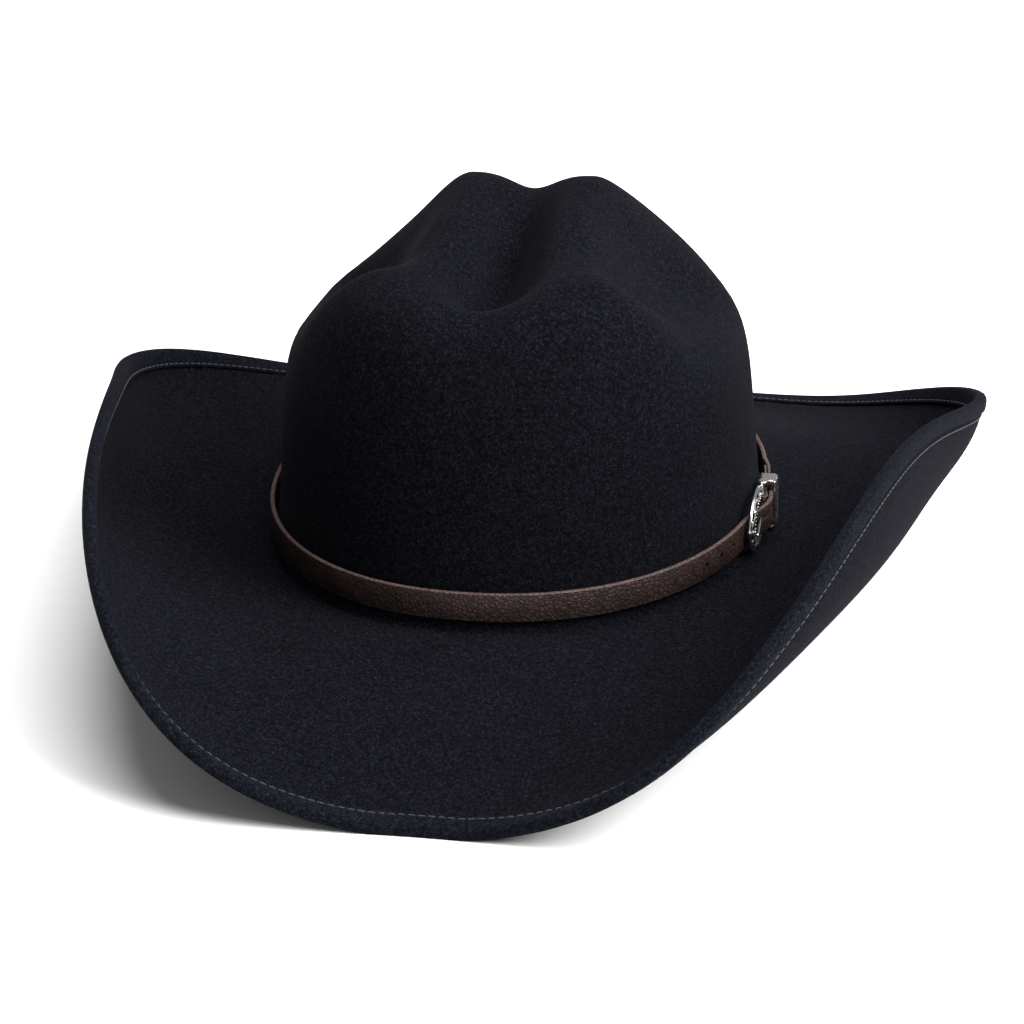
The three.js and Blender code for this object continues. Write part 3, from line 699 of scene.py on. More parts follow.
def plastic_material(name, colour, alpha=1.0):
    material, m, surface = new_material(name, Roughness=0.25, Alpha=alpha)
    haze = m.node("ShaderNodeTexNoise", Scale=60.0, Detail=4.0)
    m.link(place_of(m), haze.inputs["Vector"])
    dark = [c * 0.85 for c in colour]
    m.link(m.blend(haze.outputs["Fac"], (*dark, 1), (*colour, 1)), surface.inputs["Base Color"])
    m.link(m.span(haze.outputs["Fac"], 0.3, 0.7, 0.15, 0.35), surface.inputs["Roughness"])
    return material


FELT_BLACK = felt_material("black felt", (0.0016, 0.0017, 0.0026), (0.017, 0.018, 0.025), 1.0)
# The binding is the hat's own felt painted lighter and bluer: a painted highlight, not a different felt.
PAINTED_HIGHLIGHT_BINDING_FELT = felt_material("binding felt with painted highlight", (0.0022, 0.0025, 0.004), (0.02, 0.022, 0.032), 1.05)
BAND_LEATHER = leather_material(
    "band leather", (0.009, 0.0035, 0.0028), (0.05, 0.026, 0.022), 620.0, 0.06,
    cut_edge=(0.075, 0.045, 0.04),
)
SWEAT_LEATHER = leather_material(
    "sweatband leather", (0.018, 0.014, 0.012), (0.05, 0.04, 0.034), 1500.0, 0.15
)
SILVER = metal_material("old silver", (0.9, 0.89, 0.87), (0.015, 0.014, 0.014))
STEEL = metal_material("spring steel", (0.55, 0.56, 0.58))
BRASS = metal_material("brass tube", (0.75, 0.56, 0.28))
HEM_THREAD = thread_material("hem thread", (0.0045, 0.005, 0.007))
SEAM_THREAD = thread_material("seam thread", (0.028, 0.024, 0.024))
SATIN = cloth_material(
    "lining satin", (0.006, 0.006, 0.01), (0.02, 0.02, 0.03), 2600.0, 900.0, 0.3, 0.3, 0.15
)
TAPE = cloth_material("reed tape", (0.008, 0.007, 0.007), (0.03, 0.027, 0.026), 4200.0, 60.0, 0.7, 0.2)
RIBBON = cloth_material(
    "bow ribbon", (0.004, 0.004, 0.006), (0.02, 0.02, 0.026), 260.0, 60.0, 0.4, 0.3, 0.1
)
LABEL = cloth_material("woven label", (0.5, 0.47, 0.4), (0.75, 0.72, 0.64), 340.0, 220.0, 0.7, 0.2)
REED = plastic_material("reed", (0.75, 0.72, 0.64))
FILM = plastic_material("clear film", (0.8, 0.84, 0.86), 0.16)

ROUND = np.linspace(0, 2 * np.pi, 361)

# ---- Felt body and the edge of the brim ----


def felt_body():
    surface = felt_surface()
    piece = sewn(skinned("felt_body", surface))
    thickened(piece, FELT)
    smoothed(piece, 60)
    return finished(piece, "hat_body", FELT_BLACK, "crown_felt", "felt_crown", "felt_brim")


def edge_binding():
    """A strip folded over the edge: outside round, inside hollow for the felt and the wire."""
    fold = [(-1.5, 5.0), (-2.0, 5.0), (-2.28, 4.6), (-2.3, 3.4), (-2.28, 2.2), (-2.1, 1.2), (-1.6, 0.5)]
    fold += [(-0.8, 0.12), (0.0, 0.0), (0.8, 0.12), (1.6, 0.5), (2.1, 1.2), (2.28, 2.2), (2.3, 3.6)]
    fold += [(2.3, 5.4), (2.28, 6.6), (2.12, 7.0), (2.28, 7.4), (2.24, 8.0), (2.0, 8.4), (1.5, 8.5)]
    fold += [(1.5, 7.0), (1.5, 4.0), (1.5, 1.2), (1.1, 0.9), (0.0, 0.8)]
    fold += [(-1.1, 0.9), (-1.5, 1.2), (-1.5, 3.0)]
    fold = np.array(fold + fold[:1])
    points = edge_points(ROUND, fold[:, 1], fold[:, 0])
    piece = outward(sewn(skinned("edge_strip", points)))
    smoothed(piece, 70)
    return finished(piece, "hat_body", PAINTED_HIGHLIGHT_BINDING_FELT, "edge_binding", "brim_binding")


def stitch_row(name, offset, radius, node, slot):
    """Separate stitches along the hem, each lying a little into the felt."""
    length, gap = 2.5, 0.7
    fine = np.linspace(0, 2 * np.pi, 1441)
    line = edge_points(fine, [HEM_DEPTH], [offset])[0]
    far = np.concatenate([[0], np.cumsum(np.linalg.norm(np.diff(line, axis=0), axis=1))])
    count = int(far[-1] / (length + gap))
    section = circle_section(radius, 6)
    shares = np.array([0.0, 0.12, 0.5, 0.88, 1.0])
    widths = np.array([0.35, 0.85, 1.0, 0.85, 0.35])
    sink = np.array([-0.5, -0.12, 0.0, -0.12, -0.5]) * radius * 2
    stitches = []
    for k in range(count):
        start = far[-1] * k / count
        spots = np.interp(start + shares * length, far, fine)
        stitches.append((brim_side_points(spots, offset), widths, sink))
    return stitches_to_piece(name, stitches, section, HEM_THREAD, slot, node)


def brim_side_points(spots, offset):
    """Points over the hem line and the directions away from the felt."""
    t = depth_parameter(spots, [HEM_DEPTH])[0]
    return brim_point(spots, t, offset + 0 * t), brim_normal(spots, t) * np.sign(offset)


def stitches_to_piece(name, stitches, section, material, slot, node):
    """All stitches of a row in one mesh: a skinned strip, parted between the stitches and capped."""
    points = []
    for (middle, up), widths, sink in stitches:
        ahead = np.gradient(middle, axis=0)
        ahead /= np.linalg.norm(ahead, axis=1, keepdims=True)
        side = np.cross(ahead, up)
        place = middle + up * sink[:, None]
        ring = section[:, 0][:, None, None] * side[None] + section[:, 1][:, None, None] * up[None]
        ring = ring * widths[None, :, None]
        shell = place[None] + ring
        points.append(np.concatenate([shell, shell[:1]], axis=0))
    strip = np.concatenate(points, axis=1)
    piece = skinned(name, strip)
    pick(piece)
    columns = strip.shape[1]
    steps = points[0].shape[1]
    between = set(range(steps - 1, columns - 1, steps))
    doomed = [p.index for p in piece.data.polygons if (p.index % (columns - 1)) in between]
    for polygon in piece.data.polygons:
        polygon.select = False
    for index in doomed:
        piece.data.polygons[index].select = True
    bpy.ops.object.mode_set(mode="EDIT")
    bpy.ops.mesh.select_mode(type="FACE")
    bpy.ops.mesh.delete(type="ONLY_FACE")
    bpy.ops.mesh.select_all(action="SELECT")
    bpy.ops.mesh.remove_doubles(threshold=1e-6)
    bpy.ops.mesh.select_mode(type="EDGE")
    bpy.ops.mesh.select_all(action="DESELECT")
    bpy.ops.mesh.select_non_manifold()
    bpy.ops.mesh.edge_face_add()
    bpy.ops.mesh.select_all(action="SELECT")
    bpy.ops.mesh.normals_make_consistent(inside=False)
    bpy.ops.object.mode_set(mode="OBJECT")
    smoothed(piece, 60)
    return finished(piece, "hat_body", material, slot, node)


# ---- Hatband ----

ARC_PHI = np.linspace(0, 2 * np.pi, 3601)
ARC_X, ARC_Y = oval(ARC_PHI)
ARC_AT = np.concatenate([[0], np.cumsum(np.hypot(np.diff(ARC_X), np.diff(ARC_Y)))])
GIRTH = ARC_AT[-1]


def band_frames(arc):
    """Places on the oval at arc lengths, with the directions along the strap and outward."""
    phi = np.interp(np.mod(arc, GIRTH), ARC_AT, ARC_PHI)
    x, y = oval(phi)
    ahead_x, ahead_y = oval(phi + 0.01)
    behind_x, behind_y = oval(phi - 0.01)
    along = np.stack([ahead_x - behind_x, ahead_y - behind_y, 0 * x], -1)
    along /= np.linalg.norm(along, axis=-1, keepdims=True)
    out = np.stack([along[..., 1], -along[..., 0], 0 * x], -1)
    return np.stack([x, y, 0 * x], -1), along, out


def strap_line():
    """Middle line of the strap as arc from the buckle, offset and thickness."""
    lying = 0.6 + STRAP_THICK / 2
    line = [(39, 1.2, CHAPE_THICK), (30, 1.5, CHAPE_THICK), (15.5, 1.5, CHAPE_THICK)]
    fold = 0.8 + 0.3 + CHAPE_THICK / 2
    for turn in np.radians(np.arange(-80, -271, -10)):
        line.append((BAR_AHEAD + fold * math.cos(turn), BAR_OFFSET + fold * math.sin(turn), CHAPE_THICK))
    line += [(15.5, 3, CHAPE_THICK), (20, 2.7, CHAPE_THICK), (30, 2.7, CHAPE_THICK), (39, 2.5, 1.2)]
    line += [(arc, lying, STRAP_THICK) for arc in np.linspace(46, GIRTH - 28, 90)]
    line += [(GIRTH - 14, lying, STRAP_THICK), (GIRTH - 10, 1.5, STRAP_THICK), (GIRTH - 6, 2.2, STRAP_THICK)]
    line += [(GIRTH - 1, 3.5, STRAP_THICK), (GIRTH + 5, 5.1, STRAP_THICK), (GIRTH + 10, 5.6, STRAP_THICK)]
    line += [(GIRTH + 14, 5, STRAP_THICK), (GIRTH + 17, 4.6, STRAP_THICK), (GIRTH + 24, 4.5, STRAP_THICK)]
    line.append((GIRTH + 30, 4.5, STRAP_THICK))
    line = np.array(line)
    gone = np.concatenate([[0], np.cumsum(np.hypot(np.diff(line[:, 0]), np.diff(line[:, 1])))])
    fine = np.arange(0, gone[-1], 0.1)
    dense = np.stack([np.interp(fine, gone, line[:, k]) for k in range(3)], -1)
    for width, where in ((9, slice(None)), (41, slice(900, None))):
        window = np.hanning(width + 2)[1:-1]
        window /= window.sum()
        part = dense[where]
        padded = np.pad(part, ((width // 2, width // 2), (0, 0)), mode="reflect", reflect_type="odd")
        dense[where] = np.stack([np.convolve(padded[:, k], window, "valid") for k in range(3)], -1)
    return dense[::5]


def rounded_section(corner):
    """Quarter-turn corners of a flat strip's section: side, edge, and the steps across and up."""
    points = []
    for side, up, start in ((1, 1, 0), (-1, 1, 90), (-1, -1, 180), (1, -1, 270)):
        for turn in np.radians(np.linspace(start, start + 90, 3)):
            points.append((side, up, math.cos(turn) * corner, math.sin(turn) * corner))
    return points


def hatband_strap():
    line = strap_line()
    run = np.gradient(line[:, 0])
    climb = np.gradient(line[:, 1])
    length = np.hypot(run, climb)
    tip = np.clip((line[-1, 0] - line[:, 0]) / 5.0, 0, 1)
    taper = np.where(line[:, 0] > GIRTH, np.sqrt(np.clip(1 - (1 - tip) ** 2.4, 0.04, 1)), 1.0)
    rows = []
    corner = 0.34
    for side, up, across, above in rounded_section(corner):
        thick = side * (line[:, 2] / 2 - corner) + across
        arc = line[:, 0] - thick * climb / length
        off = line[:, 1] + thick * run / length
        place, _, out = band_frames(BUCKLE_ARC + arc)
        height = up * (STRAP_WIDTH / 2 * taper - corner) + above
        rows.append(place + out * off[:, None] + np.array([0, 0, 1.0]) * (STRAP_Z + height)[:, None])
    rows.append(rows[0])
    points = np.array(rows)
    middle = points[:-1].mean(axis=0)
    first = np.broadcast_to(middle[None, :1], points[:, :1].shape)
    last = np.broadcast_to(middle[None, -1:], points[:, :1].shape)
    capped = np.concatenate([first, points, last], axis=1)
    piece = outward(sewn(skinned("leather_hatband", capped)))
    cutters = [cross_plug("hole", ahead, 1.0, -3, 6, STRAP_Z) for ahead in SPARE_HOLES]
    cutters.append(cross_plug("hole", RIVET_AHEAD, 1.1, -3, 8, STRAP_Z))
    cutters += [slot_plug((-4, 3.4), (-2.4, 2.35), 3.2), slot_plug((-17.5, 1.8), (-3, 5), 2.0)]
    cut_by(piece, cutters)
    smoothed(piece, 50)
    return finished(piece, "hatband", BAND_LEATHER, "band_leather", "hatband_strap")


def cross_plug(name, ahead, radius, near, far, z):
    """A round bar lying outward through the strap."""
    deselect()
    bpy.ops.mesh.primitive_cylinder_add(vertices=24, radius=radius * MM, depth=(far - near) * MM)
    place, _, out = band_frames(np.array(BUCKLE_ARC + ahead))
    middle = place + out * (near + far) / 2
    turn = Vector(out).to_track_quat("Z", "Y").to_matrix().to_4x4()
    spot = Matrix.Translation(Vector((middle[0] * MM, middle[1] * MM + MIDDLE_Y, z * MM)))
    piece = placed(bpy.context.object, spot @ turn)
    piece.name = name
    return piece


def buckle_matrix():
    """The buckle's own frame: origin on the bar, X along the strap, -Y out of the hat, Z up."""
    _, along, _ = band_frames(np.array(BUCKLE_ARC))
    pivot = next(j for j in frame["joints"] if j["name"] == "buckle_hinge")["pos_m"]
    turn = Matrix.Rotation(math.atan2(along[1], along[0]), 4, "Z")
    return Matrix.Translation(Vector((pivot[0], pivot[1], BUCKLE_Z * MM))) @ turn


BUCKLE = buckle_matrix()


def slot_plug(along, through, width):
    """A block in the buckle's frame, with its ends along the strap and outward, and its height."""
    deselect()
    bpy.ops.mesh.primitive_cube_add(size=1)
    scale = Matrix.Diagonal(((along[1] - along[0]) * MM, (through[1] - through[0]) * MM, width * MM, 1))
    middle = Vector((sum(along) / 2 * MM, -sum(through) / 2 * MM, 0))
    return placed(bpy.context.object, BUCKLE @ Matrix.Translation(middle) @ scale)


def scroll_relief(turn, share):
    """Height of the engraving, 0 to 1, at an angle round the ring and a share of its width."""
    motifs = 16
    width = 3.6
    along = turn / (2 * np.pi) * 74.0
    step = 74.0 / motifs
    across = (share - 0.5) * width
    stem = bell((across - 0.55 * np.sin(2 * np.pi * along / step / 2)) / 0.3)
    relief = 0.75 * stem
    for side in (0, 1):
        centre = (np.floor(along / step / 2 + side * 0.5) + 0.5 - side * 0.5) * step * 2
        x = along - centre
        y = across - (0.45 if side else -0.45)
        r = np.hypot(x, y)
        swirl = 0.5 + 0.5 * np.cos(2 * np.pi * r / 0.85 - np.arctan2(y, x) * (1 if side else -1))
        relief = np.maximum(relief, swirl * smooth(1.75, 1.2, r))
    rim = smooth(0.2, 0.1, share)
    beads = np.clip(np.cos(turn * 44), 0, 1) * bell((share - 0.86) / 0.09)
    field = relief * smooth(0.16, 0.26, share) * smooth(0.82, 0.72, share)
    return np.maximum(np.maximum(field * 0.85, rim), beads)


def buckle_ring():
    turns, front = 432, 34
    turn = np.linspace(0, 2 * np.pi, turns + 1)[None, :]
    share = np.concatenate([np.linspace(0, 1, front), [1.0, 0.82, 0.5, 0.18, 0.0, 0.0]])[:, None]
    relief = scroll_relief(turn, share)
    outside = 1.75 * share**0.8 - 0.3 + 0.42 * relief
    inside = np.broadcast_to(np.array([-0.7, -1.05, -1.1, -1.05, -0.7, -0.2])[:, None], (6, turns + 1))
    height = np.concatenate([outside[:front] - 0.25, inside], axis=0)
    long_half = mix(RING_LONG / 2, HOLE_LONG / 2, share)
    tall_half = mix(RING_TALL / 2, HOLE_TALL / 2, share)
    x = long_half * np.cos(turn) - BAR_AHEAD
    z = tall_half * np.sin(turn)
    tilt = -x * math.sin(FRAME_TILT)
    y = -(height + tilt)
    points = np.stack([x * math.cos(FRAME_TILT) + 0 * y, y, z + 0 * y], -1)
    points = np.concatenate([points, points[:1]], axis=0)
    piece = skinned("engraved_ring", points, shift=False)
    mark = np.concatenate([(1 - relief)[:front], np.zeros((7, turns + 1))], axis=0)
    mark_hollows(piece, smooth(0.45, 0.9, mark))
    outward(sewn(piece, 1e-6))
    lugs = []
    for low, high in ((6.9, 9.4), (-9.4, -6.9)):
        deselect()
        bpy.ops.mesh.primitive_cylinder_add(vertices=32, radius=1.9 * MM, depth=(high - low) * MM)
        lug = placed(bpy.context.object, Matrix.Translation((0, 0, (low + high) / 2 * MM)))
        lugs.append(bevelled(lug, 0.3))
    ring = joined("engraved_ring", [piece, *lugs])
    placed(ring, BUCKLE)
    cut_by(ring, [slot_plug((-9, 9), (-6, 6), 13.8)])
    smoothed(ring, 50)
    return finished(ring, "buckle_frame", SILVER, "buckle_metal", "buckle_ring")


def mark_hollows(piece, values):
    """Stores how deep in a recess each corner of a skinned piece lies."""
    mark = piece.data.attributes.new("hollow", "FLOAT", "POINT")
    mark.data.foreach_set("value", values.ravel().astype(np.float32))


def buckle_bar():
    deselect()
    bpy.ops.mesh.primitive_cylinder_add(vertices=32, radius=0.8 * MM, depth=18.4 * MM)
    piece = bevelled(placed(bpy.context.object, BUCKLE), 0.25)
    piece.name = "hinge_bar"
    smoothed(piece, 40)
    return finished(piece, "buckle_frame", SILVER, "bar_metal", "buckle_bar")


def buckle_prong():
    """A pin whose root is bent round the bar and whose tip lies on the free end of the ring."""
    loop = [(1.5 * math.cos(a), 1.5 * math.sin(a), 0) for a in np.radians(np.arange(-150, 151, 15))]
    tip = [(-26.6, -4.6, 0), (-24.5, -4.35, 0), (-20, -3.5, 0)]
    tip += [(-14, -2.4, 0), (-8, -1.5, 0), (-3.4, -0.95, 0)]
    line = np.array(tip + loop)
    gone = np.concatenate([[0], np.cumsum(np.linalg.norm(np.diff(line, axis=0), axis=1))])
    fine = np.linspace(0, gone[-1], 120)
    line = np.stack([np.interp(fine, gone, line[:, k]) for k in range(3)], -1)
    radii = mix(0.42, 0.62, smooth(0, 8, fine)) * np.sqrt(np.clip(fine / 0.6, 0.02, 1))
    radii = np.minimum(radii, 0.4 + 0.3 * smooth(22, 16, fine))
    piece = tube("bent_prong", line, radii, 16, shift=False)
    placed(piece, BUCKLE)
    smoothed(piece, 60)
    return finished(piece, "prong", SILVER, "prong_metal", "buckle_prong")


def keeper_loop():
    """A flat band bent into a loop round the strap, with a beaded border on each side."""
    half, near, far, wall, corner = 9.0, 0.0, 6.6, 0.9, 1.4
    centres = [(half - corner, far - corner), (corner - half, far - corner)]
    centres += [(corner - half, near + corner), (half - corner, near + corner)]
    path = []
    for (up, off), start in zip(centres, (0, 90, 180, 270)):
        for angle in np.radians(np.linspace(start, start + 90, 9)):
            path.append((up + corner * math.cos(angle), off + corner * math.sin(angle)))
    path = np.array(path + path[:1])
    gone = np.concatenate([[0], np.cumsum(np.hypot(*np.diff(path, axis=0).T))])
    fine = np.linspace(0, gone[-1], 241)
    path = np.stack([np.interp(fine, gone, path[:, k]) for k in range(2)], -1)
    ahead = np.roll(path[:-1], -1, axis=0) - np.roll(path[:-1], 1, axis=0)
    ahead = np.concatenate([ahead, ahead[:1]])
    ahead /= np.linalg.norm(ahead, axis=1, keepdims=True)
    normal = np.stack([ahead[:, 1], -ahead[:, 0]], -1)
    share = np.concatenate([np.linspace(-1, 1, 25), [1.0, 0.9, 0.0, -0.9, -1.0]])
    row = np.clip(np.cos(2 * np.pi * fine / 1.15), 0, 1)[None, :]
    border = bell((np.abs(share) - 0.8) / 0.12)[:, None]
    swell = 0.12 * np.cos(share * np.pi / 2 * 0.9)[:, None]
    worn = 0.12 * (np.abs(share) > 0.97)[:, None]
    out = swell + 0.3 * row * border - worn
    out[25:] = -wall
    out[[25, 29]] = -wall / 2
    place, along, outdir = band_frames(np.array(BUCKLE_ARC + KEEPER_AHEAD))
    flat = path[None] + normal[None] * out[:, :, None]
    points = (
        place
        + along * (share[:, None, None] * 3.5)
        + outdir * flat[:, :, 1:2]
        + np.array([0, 0, 1.0]) * (STRAP_Z + flat[:, :, 0:1])
    )
    points = np.concatenate([points, points[:1]], axis=0)
    piece = skinned("beaded_keeper", points)
    hollow = np.zeros(points.shape[:2])
    front = np.abs(share[:25, None])
    hollow[:25] = 0.8 * bell((front - 0.62) / 0.07) + 0.5 * bell((front - 0.97) / 0.05)
    mark_hollows(piece, np.clip(hollow, 0, 1))
    outward(sewn(piece, 1e-6))
    smoothed(piece, 50)
    return finished(piece, "keeper", SILVER, "keeper_metal", "keeper_loop")


def chape_rivet():
    shank = cross_plug("shank", RIVET_AHEAD, 0.8, 0.4, 3.7, STRAP_Z)
    parts = [shank]
    for near, far in ((-0.1, 0.5), (3.5, 4.2)):
        head = cross_plug("head", RIVET_AHEAD, 1.9, near, far, STRAP_Z)
        parts.append(bevelled(head, 0.28, 4))
    piece = smoothed(joined("band_rivet", parts), 40)
    return finished(piece, "hatband", SILVER, "rivet_metal", "chape_rivet")


# ---- Inside of the hat ----


def sweatband():
    """Leather strip against the wall, rolled over the reed at its lower edge."""
    inset, thick, low, tall = 2.8, 1.1, 1.0, 40.0
    rows = [(low, inset + 0.2), (low - 0.15, inset + 0.6), (low, inset + 1.0), (low + 0.8, inset + thick)]
    rows += [(height, inset + thick) for height in np.linspace(low + 2, low + tall - 0.5, 14)]
    rows += [(low + tall, inset + thick - 0.3), (low + tall, inset + 0.2)]
    rows += [(height, inset) for height in np.linspace(low + tall - 0.6, low + 1, 10)]
    turn = np.linspace(0, 2 * np.pi, 241)
    points = np.array([wall_point(turn, height, inset) for height, inset in rows + rows[:1]])
    piece = outward(sewn(skinned("rolled_sweatband", points)))
    smoothed(piece, 50)
    return finished(piece, "hat_body", SWEAT_LEATHER, "sweatband_leather", "sweatband")


def oval_ring(name, inset, z, section):
    """A closed ring with the given section along the head's oval."""
    turn = np.linspace(0, 2 * np.pi, 241)
    rows = []
    for across, up in section:
        x, y = oval(turn, inset - across)
        rows.append(np.stack([x, y, np.full_like(x, z + up)], -1))
    rows.append(rows[0])
    return outward(sewn(skinned(name, np.array(rows))))


def reed_and_tape():
    z = BREAK_Z - 0.3
    reed = smoothed(oval_ring("reed_rod", 4.6, z, circle_section(0.75, 12)), 60)
    finished(reed, "hat_body", REED, "reed_plastic", "sweatband_reed")
    fold = [(-1.45, 0.9), (-1.45, 0.0), (-1.35, -0.7), (-0.9, -1.25), (0.0, -1.45)]
    fold += [(0.9, -1.25), (1.35, -0.7)]
    fold += [(1.45, 0.0), (1.45, 0.9), (1.25, 1.0), (1.08, 0.9), (1.08, 0.0), (0.95, -0.55), (0.6, -0.9)]
    fold += [(0.0, -1.05), (-0.6, -0.9), (-0.95, -0.55), (-1.08, 0.0), (-1.08, 0.9), (-1.25, 1.0)]
    tape = smoothed(oval_ring("folded_reed_tape", 4.6, z, fold), 60)
    finished(tape, "hat_body", TAPE, "reed_tape_cloth", "reed_tape")


def sweatband_stitches():
    """Short stitches under the break that hold the sweatband."""
    z = BREAK_Z - (FELT / 2 + 0.3 + 0.4)
    inset = 1.2
    turn = np.linspace(0, 2 * np.pi, 1441)
    x, y = oval(turn, inset)
    far = np.concatenate([[0], np.cumsum(np.hypot(np.diff(x), np.diff(y)))])
    count = int(far[-1] / 3.4)
    shares, widths = np.array([0, 0.12, 0.5, 0.88, 1.0]), np.array([0.4, 0.85, 1.0, 0.85, 0.4])
    lift = np.array([0.5, 0.12, 0, 0.12, 0.5]) * 0.4
    stitches = []
    for k in range(count):
        spots = np.interp(far[-1] * k / count + shares * 2.6, far, turn)
        px, py = oval(spots, inset)
        middle = np.stack([px, py, np.full_like(px, z)], -1)
        up = np.tile(np.array([0, 0, -1.0]), (len(spots), 1))
        stitches.append(((middle, up), widths, -lift))
    section = circle_section(0.25, 6)
    return stitches_to_piece(
        "sweatband_sewing", stitches, section, SEAM_THREAD, "sweatband_stitches", "sweatband_thread"
    )


def back_patch(name, node, wide, low, high, inset, thick, material, slot):
    """A small flat patch following the wall at the back, with rounded edges."""
    columns, rows = 40, 30
    across = np.linspace(-0.5, 0.5, columns + 1)
    psi = np.pi - across * wide / (0.9 * OVAL_X)
    heights = np.linspace(low, high, rows + 1)
    points = np.array([wall_point(psi, height, inset + thick / 2 + 0 * psi) for height in heights])
    piece = skinned(name, points)
    thickened(piece, thick, 0.0)
    bevelled(piece, 0.15, 2, 60)
    outward(piece)
    smoothed(piece, 50)
    return finished(piece, "hat_body", material, slot, node)


def sweatband_bow():
    """Narrow ribbon tied in a bow: two loops, two tails and a knot, flat against the sweatband."""
    inset = 2.8 + 1.1 + 0.9 + 0.3
    loops = []
    for side in (1, -1):
        turn = np.linspace(0, 2 * np.pi, 49)
        x = side * (5.2 - 5.2 * np.cos(turn))
        z = 1.7 * np.sin(turn) + 0.9 * (1 - np.cos(turn))
        loops.append((np.stack([x, z], -1), 0.55 - 0.35 * np.sin(turn)))
        share = np.linspace(0, 1, 21)
        tail = np.stack([side * (0.4 + 6.6 * share), -0.6 - 6.0 * share + 0.5 * np.sin(share * 5)], -1)
        loops.append((tail, np.full(21, 0.35)))
    parts = []
    for number, (line, lift) in enumerate(loops):
        width = 1.25
        ahead = np.gradient(line, axis=0)
        ahead /= np.linalg.norm(ahead, axis=1, keepdims=True)
        normal = np.stack([-ahead[:, 1], ahead[:, 0]], -1)
        rows = []
        for share in np.linspace(-1, 1, 7):
            flat = line + normal * share * width * 0.8
            off = inset + lift + 0.1 * share
            psi = np.pi - flat[:, 0] / (0.9 * OVAL_X)
            rows.append(wall_point(psi, 11 + flat[:, 1], off))
        part = skinned(f"bow part {number}", np.array(rows))
        parts.append(thickened(part, 0.22, 0.0))
    place = wall_point(np.array([np.pi]), np.array([11.0]), np.array([inset + 0.65]))[0]
    deselect()
    bpy.ops.mesh.primitive_uv_sphere_add(segments=24, ring_count=14, radius=1.0 * MM)
    squash = Matrix.Diagonal((1.7, 0.75, 1.5, 1))
    spot = Matrix.Translation(Vector((place[0] * MM, place[1] * MM + MIDDLE_Y, place[2] * MM)))
    parts.append(placed(bpy.context.object, spot @ squash))
    piece = smoothed(joined("ribbon_bow", parts), 60)
    return finished(piece, "hat_body", RIBBON, "bow_ribbon", "sweatband_bow")


def lining():
    """Satin bag: a side panel with fine gathers at its top and an oval top panel."""
    turn = np.linspace(0, 2 * np.pi, 241)
    inset, drop = 2.9 + 0.35, 4.2 + 0.35
    heights = np.linspace(42, 52, 4)
    rows = [wall_point(turn, height, inset + 0 * turn) for height in heights]
    climbs = np.linspace(0.4, 0.6, 26)
    low = crown_point(turn, 0.36 + 0 * turn, inset, drop)
    rows = [row for row in rows if row[:, 2].mean() < low[:, 2].mean()]
    rows += [crown_point(turn, climb + 0 * turn, inset, drop + 0.5) for climb in climbs]
    gather = 0.25 * np.abs(np.sin(turn * 90))
    for number, row in enumerate(rows[-10:]):
        row[:, 2] -= gather * number / 10
    side = sewn(skinned("satin_side", np.array(rows)))
    smoothed(thickened(side, 0.3, 0.0), 60)
    finished(side, "hat_body", SATIN, "lining_satin", "lining_side")
    top = dome_sheet("satin_top", 0.63, inset, drop + 0.9, 0.3)
    finished(top, "hat_body", SATIN, "lining_top_satin", "lining_top")
    film = dome_sheet("clear_shield", 0.76, inset, drop + 1.9, 0.4)
    finished(film, "hat_body", FILM, "tip_shield_film", "lining_tip_shield")


def dome_sheet(name, edge_climb, inset, drop, thick):
    """A thin dome under the crown's top, from its edge to the middle."""
    turn = np.linspace(0, 2 * np.pi, 241)
    climbs = np.linspace(edge_climb, 1, 60)
    rows = [crown_point(turn, climb + 0 * turn, inset, drop) for climb in climbs]
    return smoothed(thickened(sewn(skinned(name, np.array(rows))), thick, 0.0), 60)


def hidden_metal():
    """The spring wire and its sleeve stay as made, inside the bound edge."""
    for node, material in (("brim_wire", STEEL), ("brim_wire_sleeve", BRASS)):
        kept = frame["nodes"][node]
        kept.data.materials.clear()
        kept.data.materials.append(material)


# ---- Room, lights and camera ----


def pale_floor():
    deselect()
    bpy.ops.mesh.primitive_plane_add(size=12)
    floor = bpy.context.object
    floor.name = "floor"
    material, _, surface = new_material("pale paper", Roughness=0.9, Specular_IOR_Level=0.1)
    surface.inputs["Base Color"].default_value = (0.93, 0.93, 0.925, 1)
    floor.data.materials.append(material)


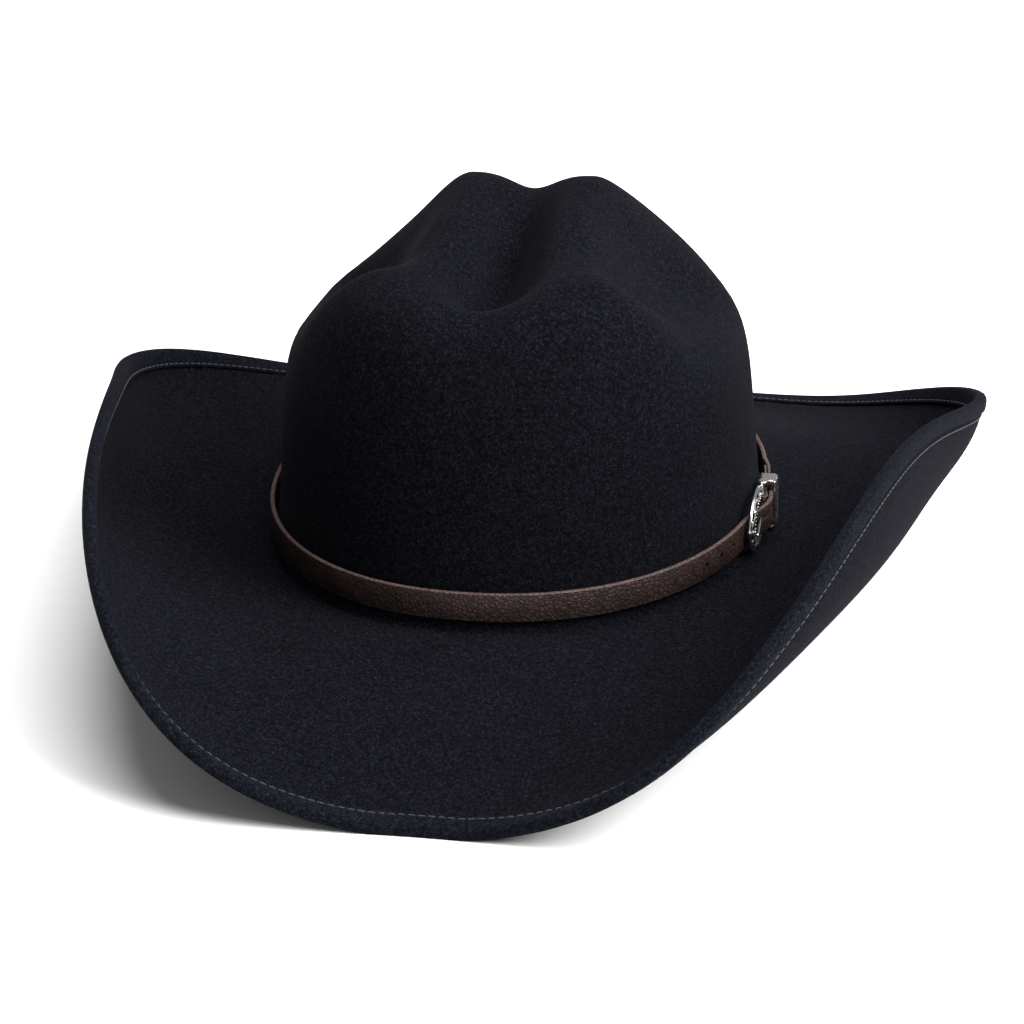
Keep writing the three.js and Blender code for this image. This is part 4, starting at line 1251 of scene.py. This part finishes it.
def soft_light(name, spot, aim, size, power):
    data = bpy.data.lights.new(name, "AREA")
    data.shape = "DISK"
    data.size = size
    data.energy = power
    lamp = bpy.data.objects.new(name, data)
    bpy.context.collection.objects.link(lamp)
    lamp.location = spot
    lamp.rotation_euler = (Vector(aim) - Vector(spot)).to_track_quat("-Z", "Y").to_euler()


def studio():
    world = bpy.data.worlds.new("studio")
    bpy.context.scene.world = world
    world.use_nodes = True
    back = world.node_tree.nodes["Background"]
    back.inputs["Color"].default_value = (1, 1, 1, 1)
    back.inputs["Strength"].default_value = 0.25
    soft_light("key", (1.5, -0.55, 1.3), (0, 0, 0.08), 1.3, 82)
    soft_light("overhead", (0.35, 0.0, 2.3), (0, 0, 0.05), 2.1, 78)
    bpy.context.scene.view_settings.view_transform = "Standard"


def front_camera():
    """Long lens from the front, a little to the buckle side and above."""
    azimuth, elevation, roll = (math.radians(angle) for angle in (10.3, 23.2, -0.9))
    distance = 1.2
    back = Vector((
        math.sin(azimuth) * math.cos(elevation),
        -math.cos(azimuth) * math.cos(elevation),
        math.sin(elevation),
    ))
    data = bpy.data.cameras.new("camera")
    data.sensor_width = 36
    data.lens = 116.65
    data.shift_x = -0.0093
    data.shift_y = -0.0103
    camera = bpy.data.objects.new("camera", data)
    bpy.context.collection.objects.link(camera)
    camera.location = Vector((0, MIDDLE_Y, BAND_Z * MM)) + back * distance
    turn = (-back).to_track_quat("-Z", "Y").to_matrix() @ Matrix.Rotation(roll, 3, "Z")
    camera.rotation_euler = turn.to_euler()
    bpy.context.scene.camera = camera


front_camera()
felt_body()
edge_binding()
stitch_row("needle_stitches", BINDING_HALF - 0.05, 0.24, "brim_needle_thread", "needle_thread")
stitch_row("bobbin_stitches", -FELT / 2 - 0.12, 0.22, "brim_bobbin_thread", "bobbin_thread")
hidden_metal()
hatband_strap()
chape_rivet()
keeper_loop()
buckle_ring()
buckle_bar()
buckle_prong()
sweatband()
reed_and_tape()
sweatband_stitches()
ON_BAND = 2.8 + 1.1 + 0.3
back_patch(
    "back_seam_tape", "sweatband_seam_tape", 9, 2, 40, ON_BAND, 0.6, SWEAT_LEATHER, "seam_tape_leather"
)
back_patch("blank_label", "size_label", 16, 27, 37, ON_BAND + 0.9, 0.5, LABEL, "label_cloth")
sweatband_bow()
lining()
pale_floor()
studio()
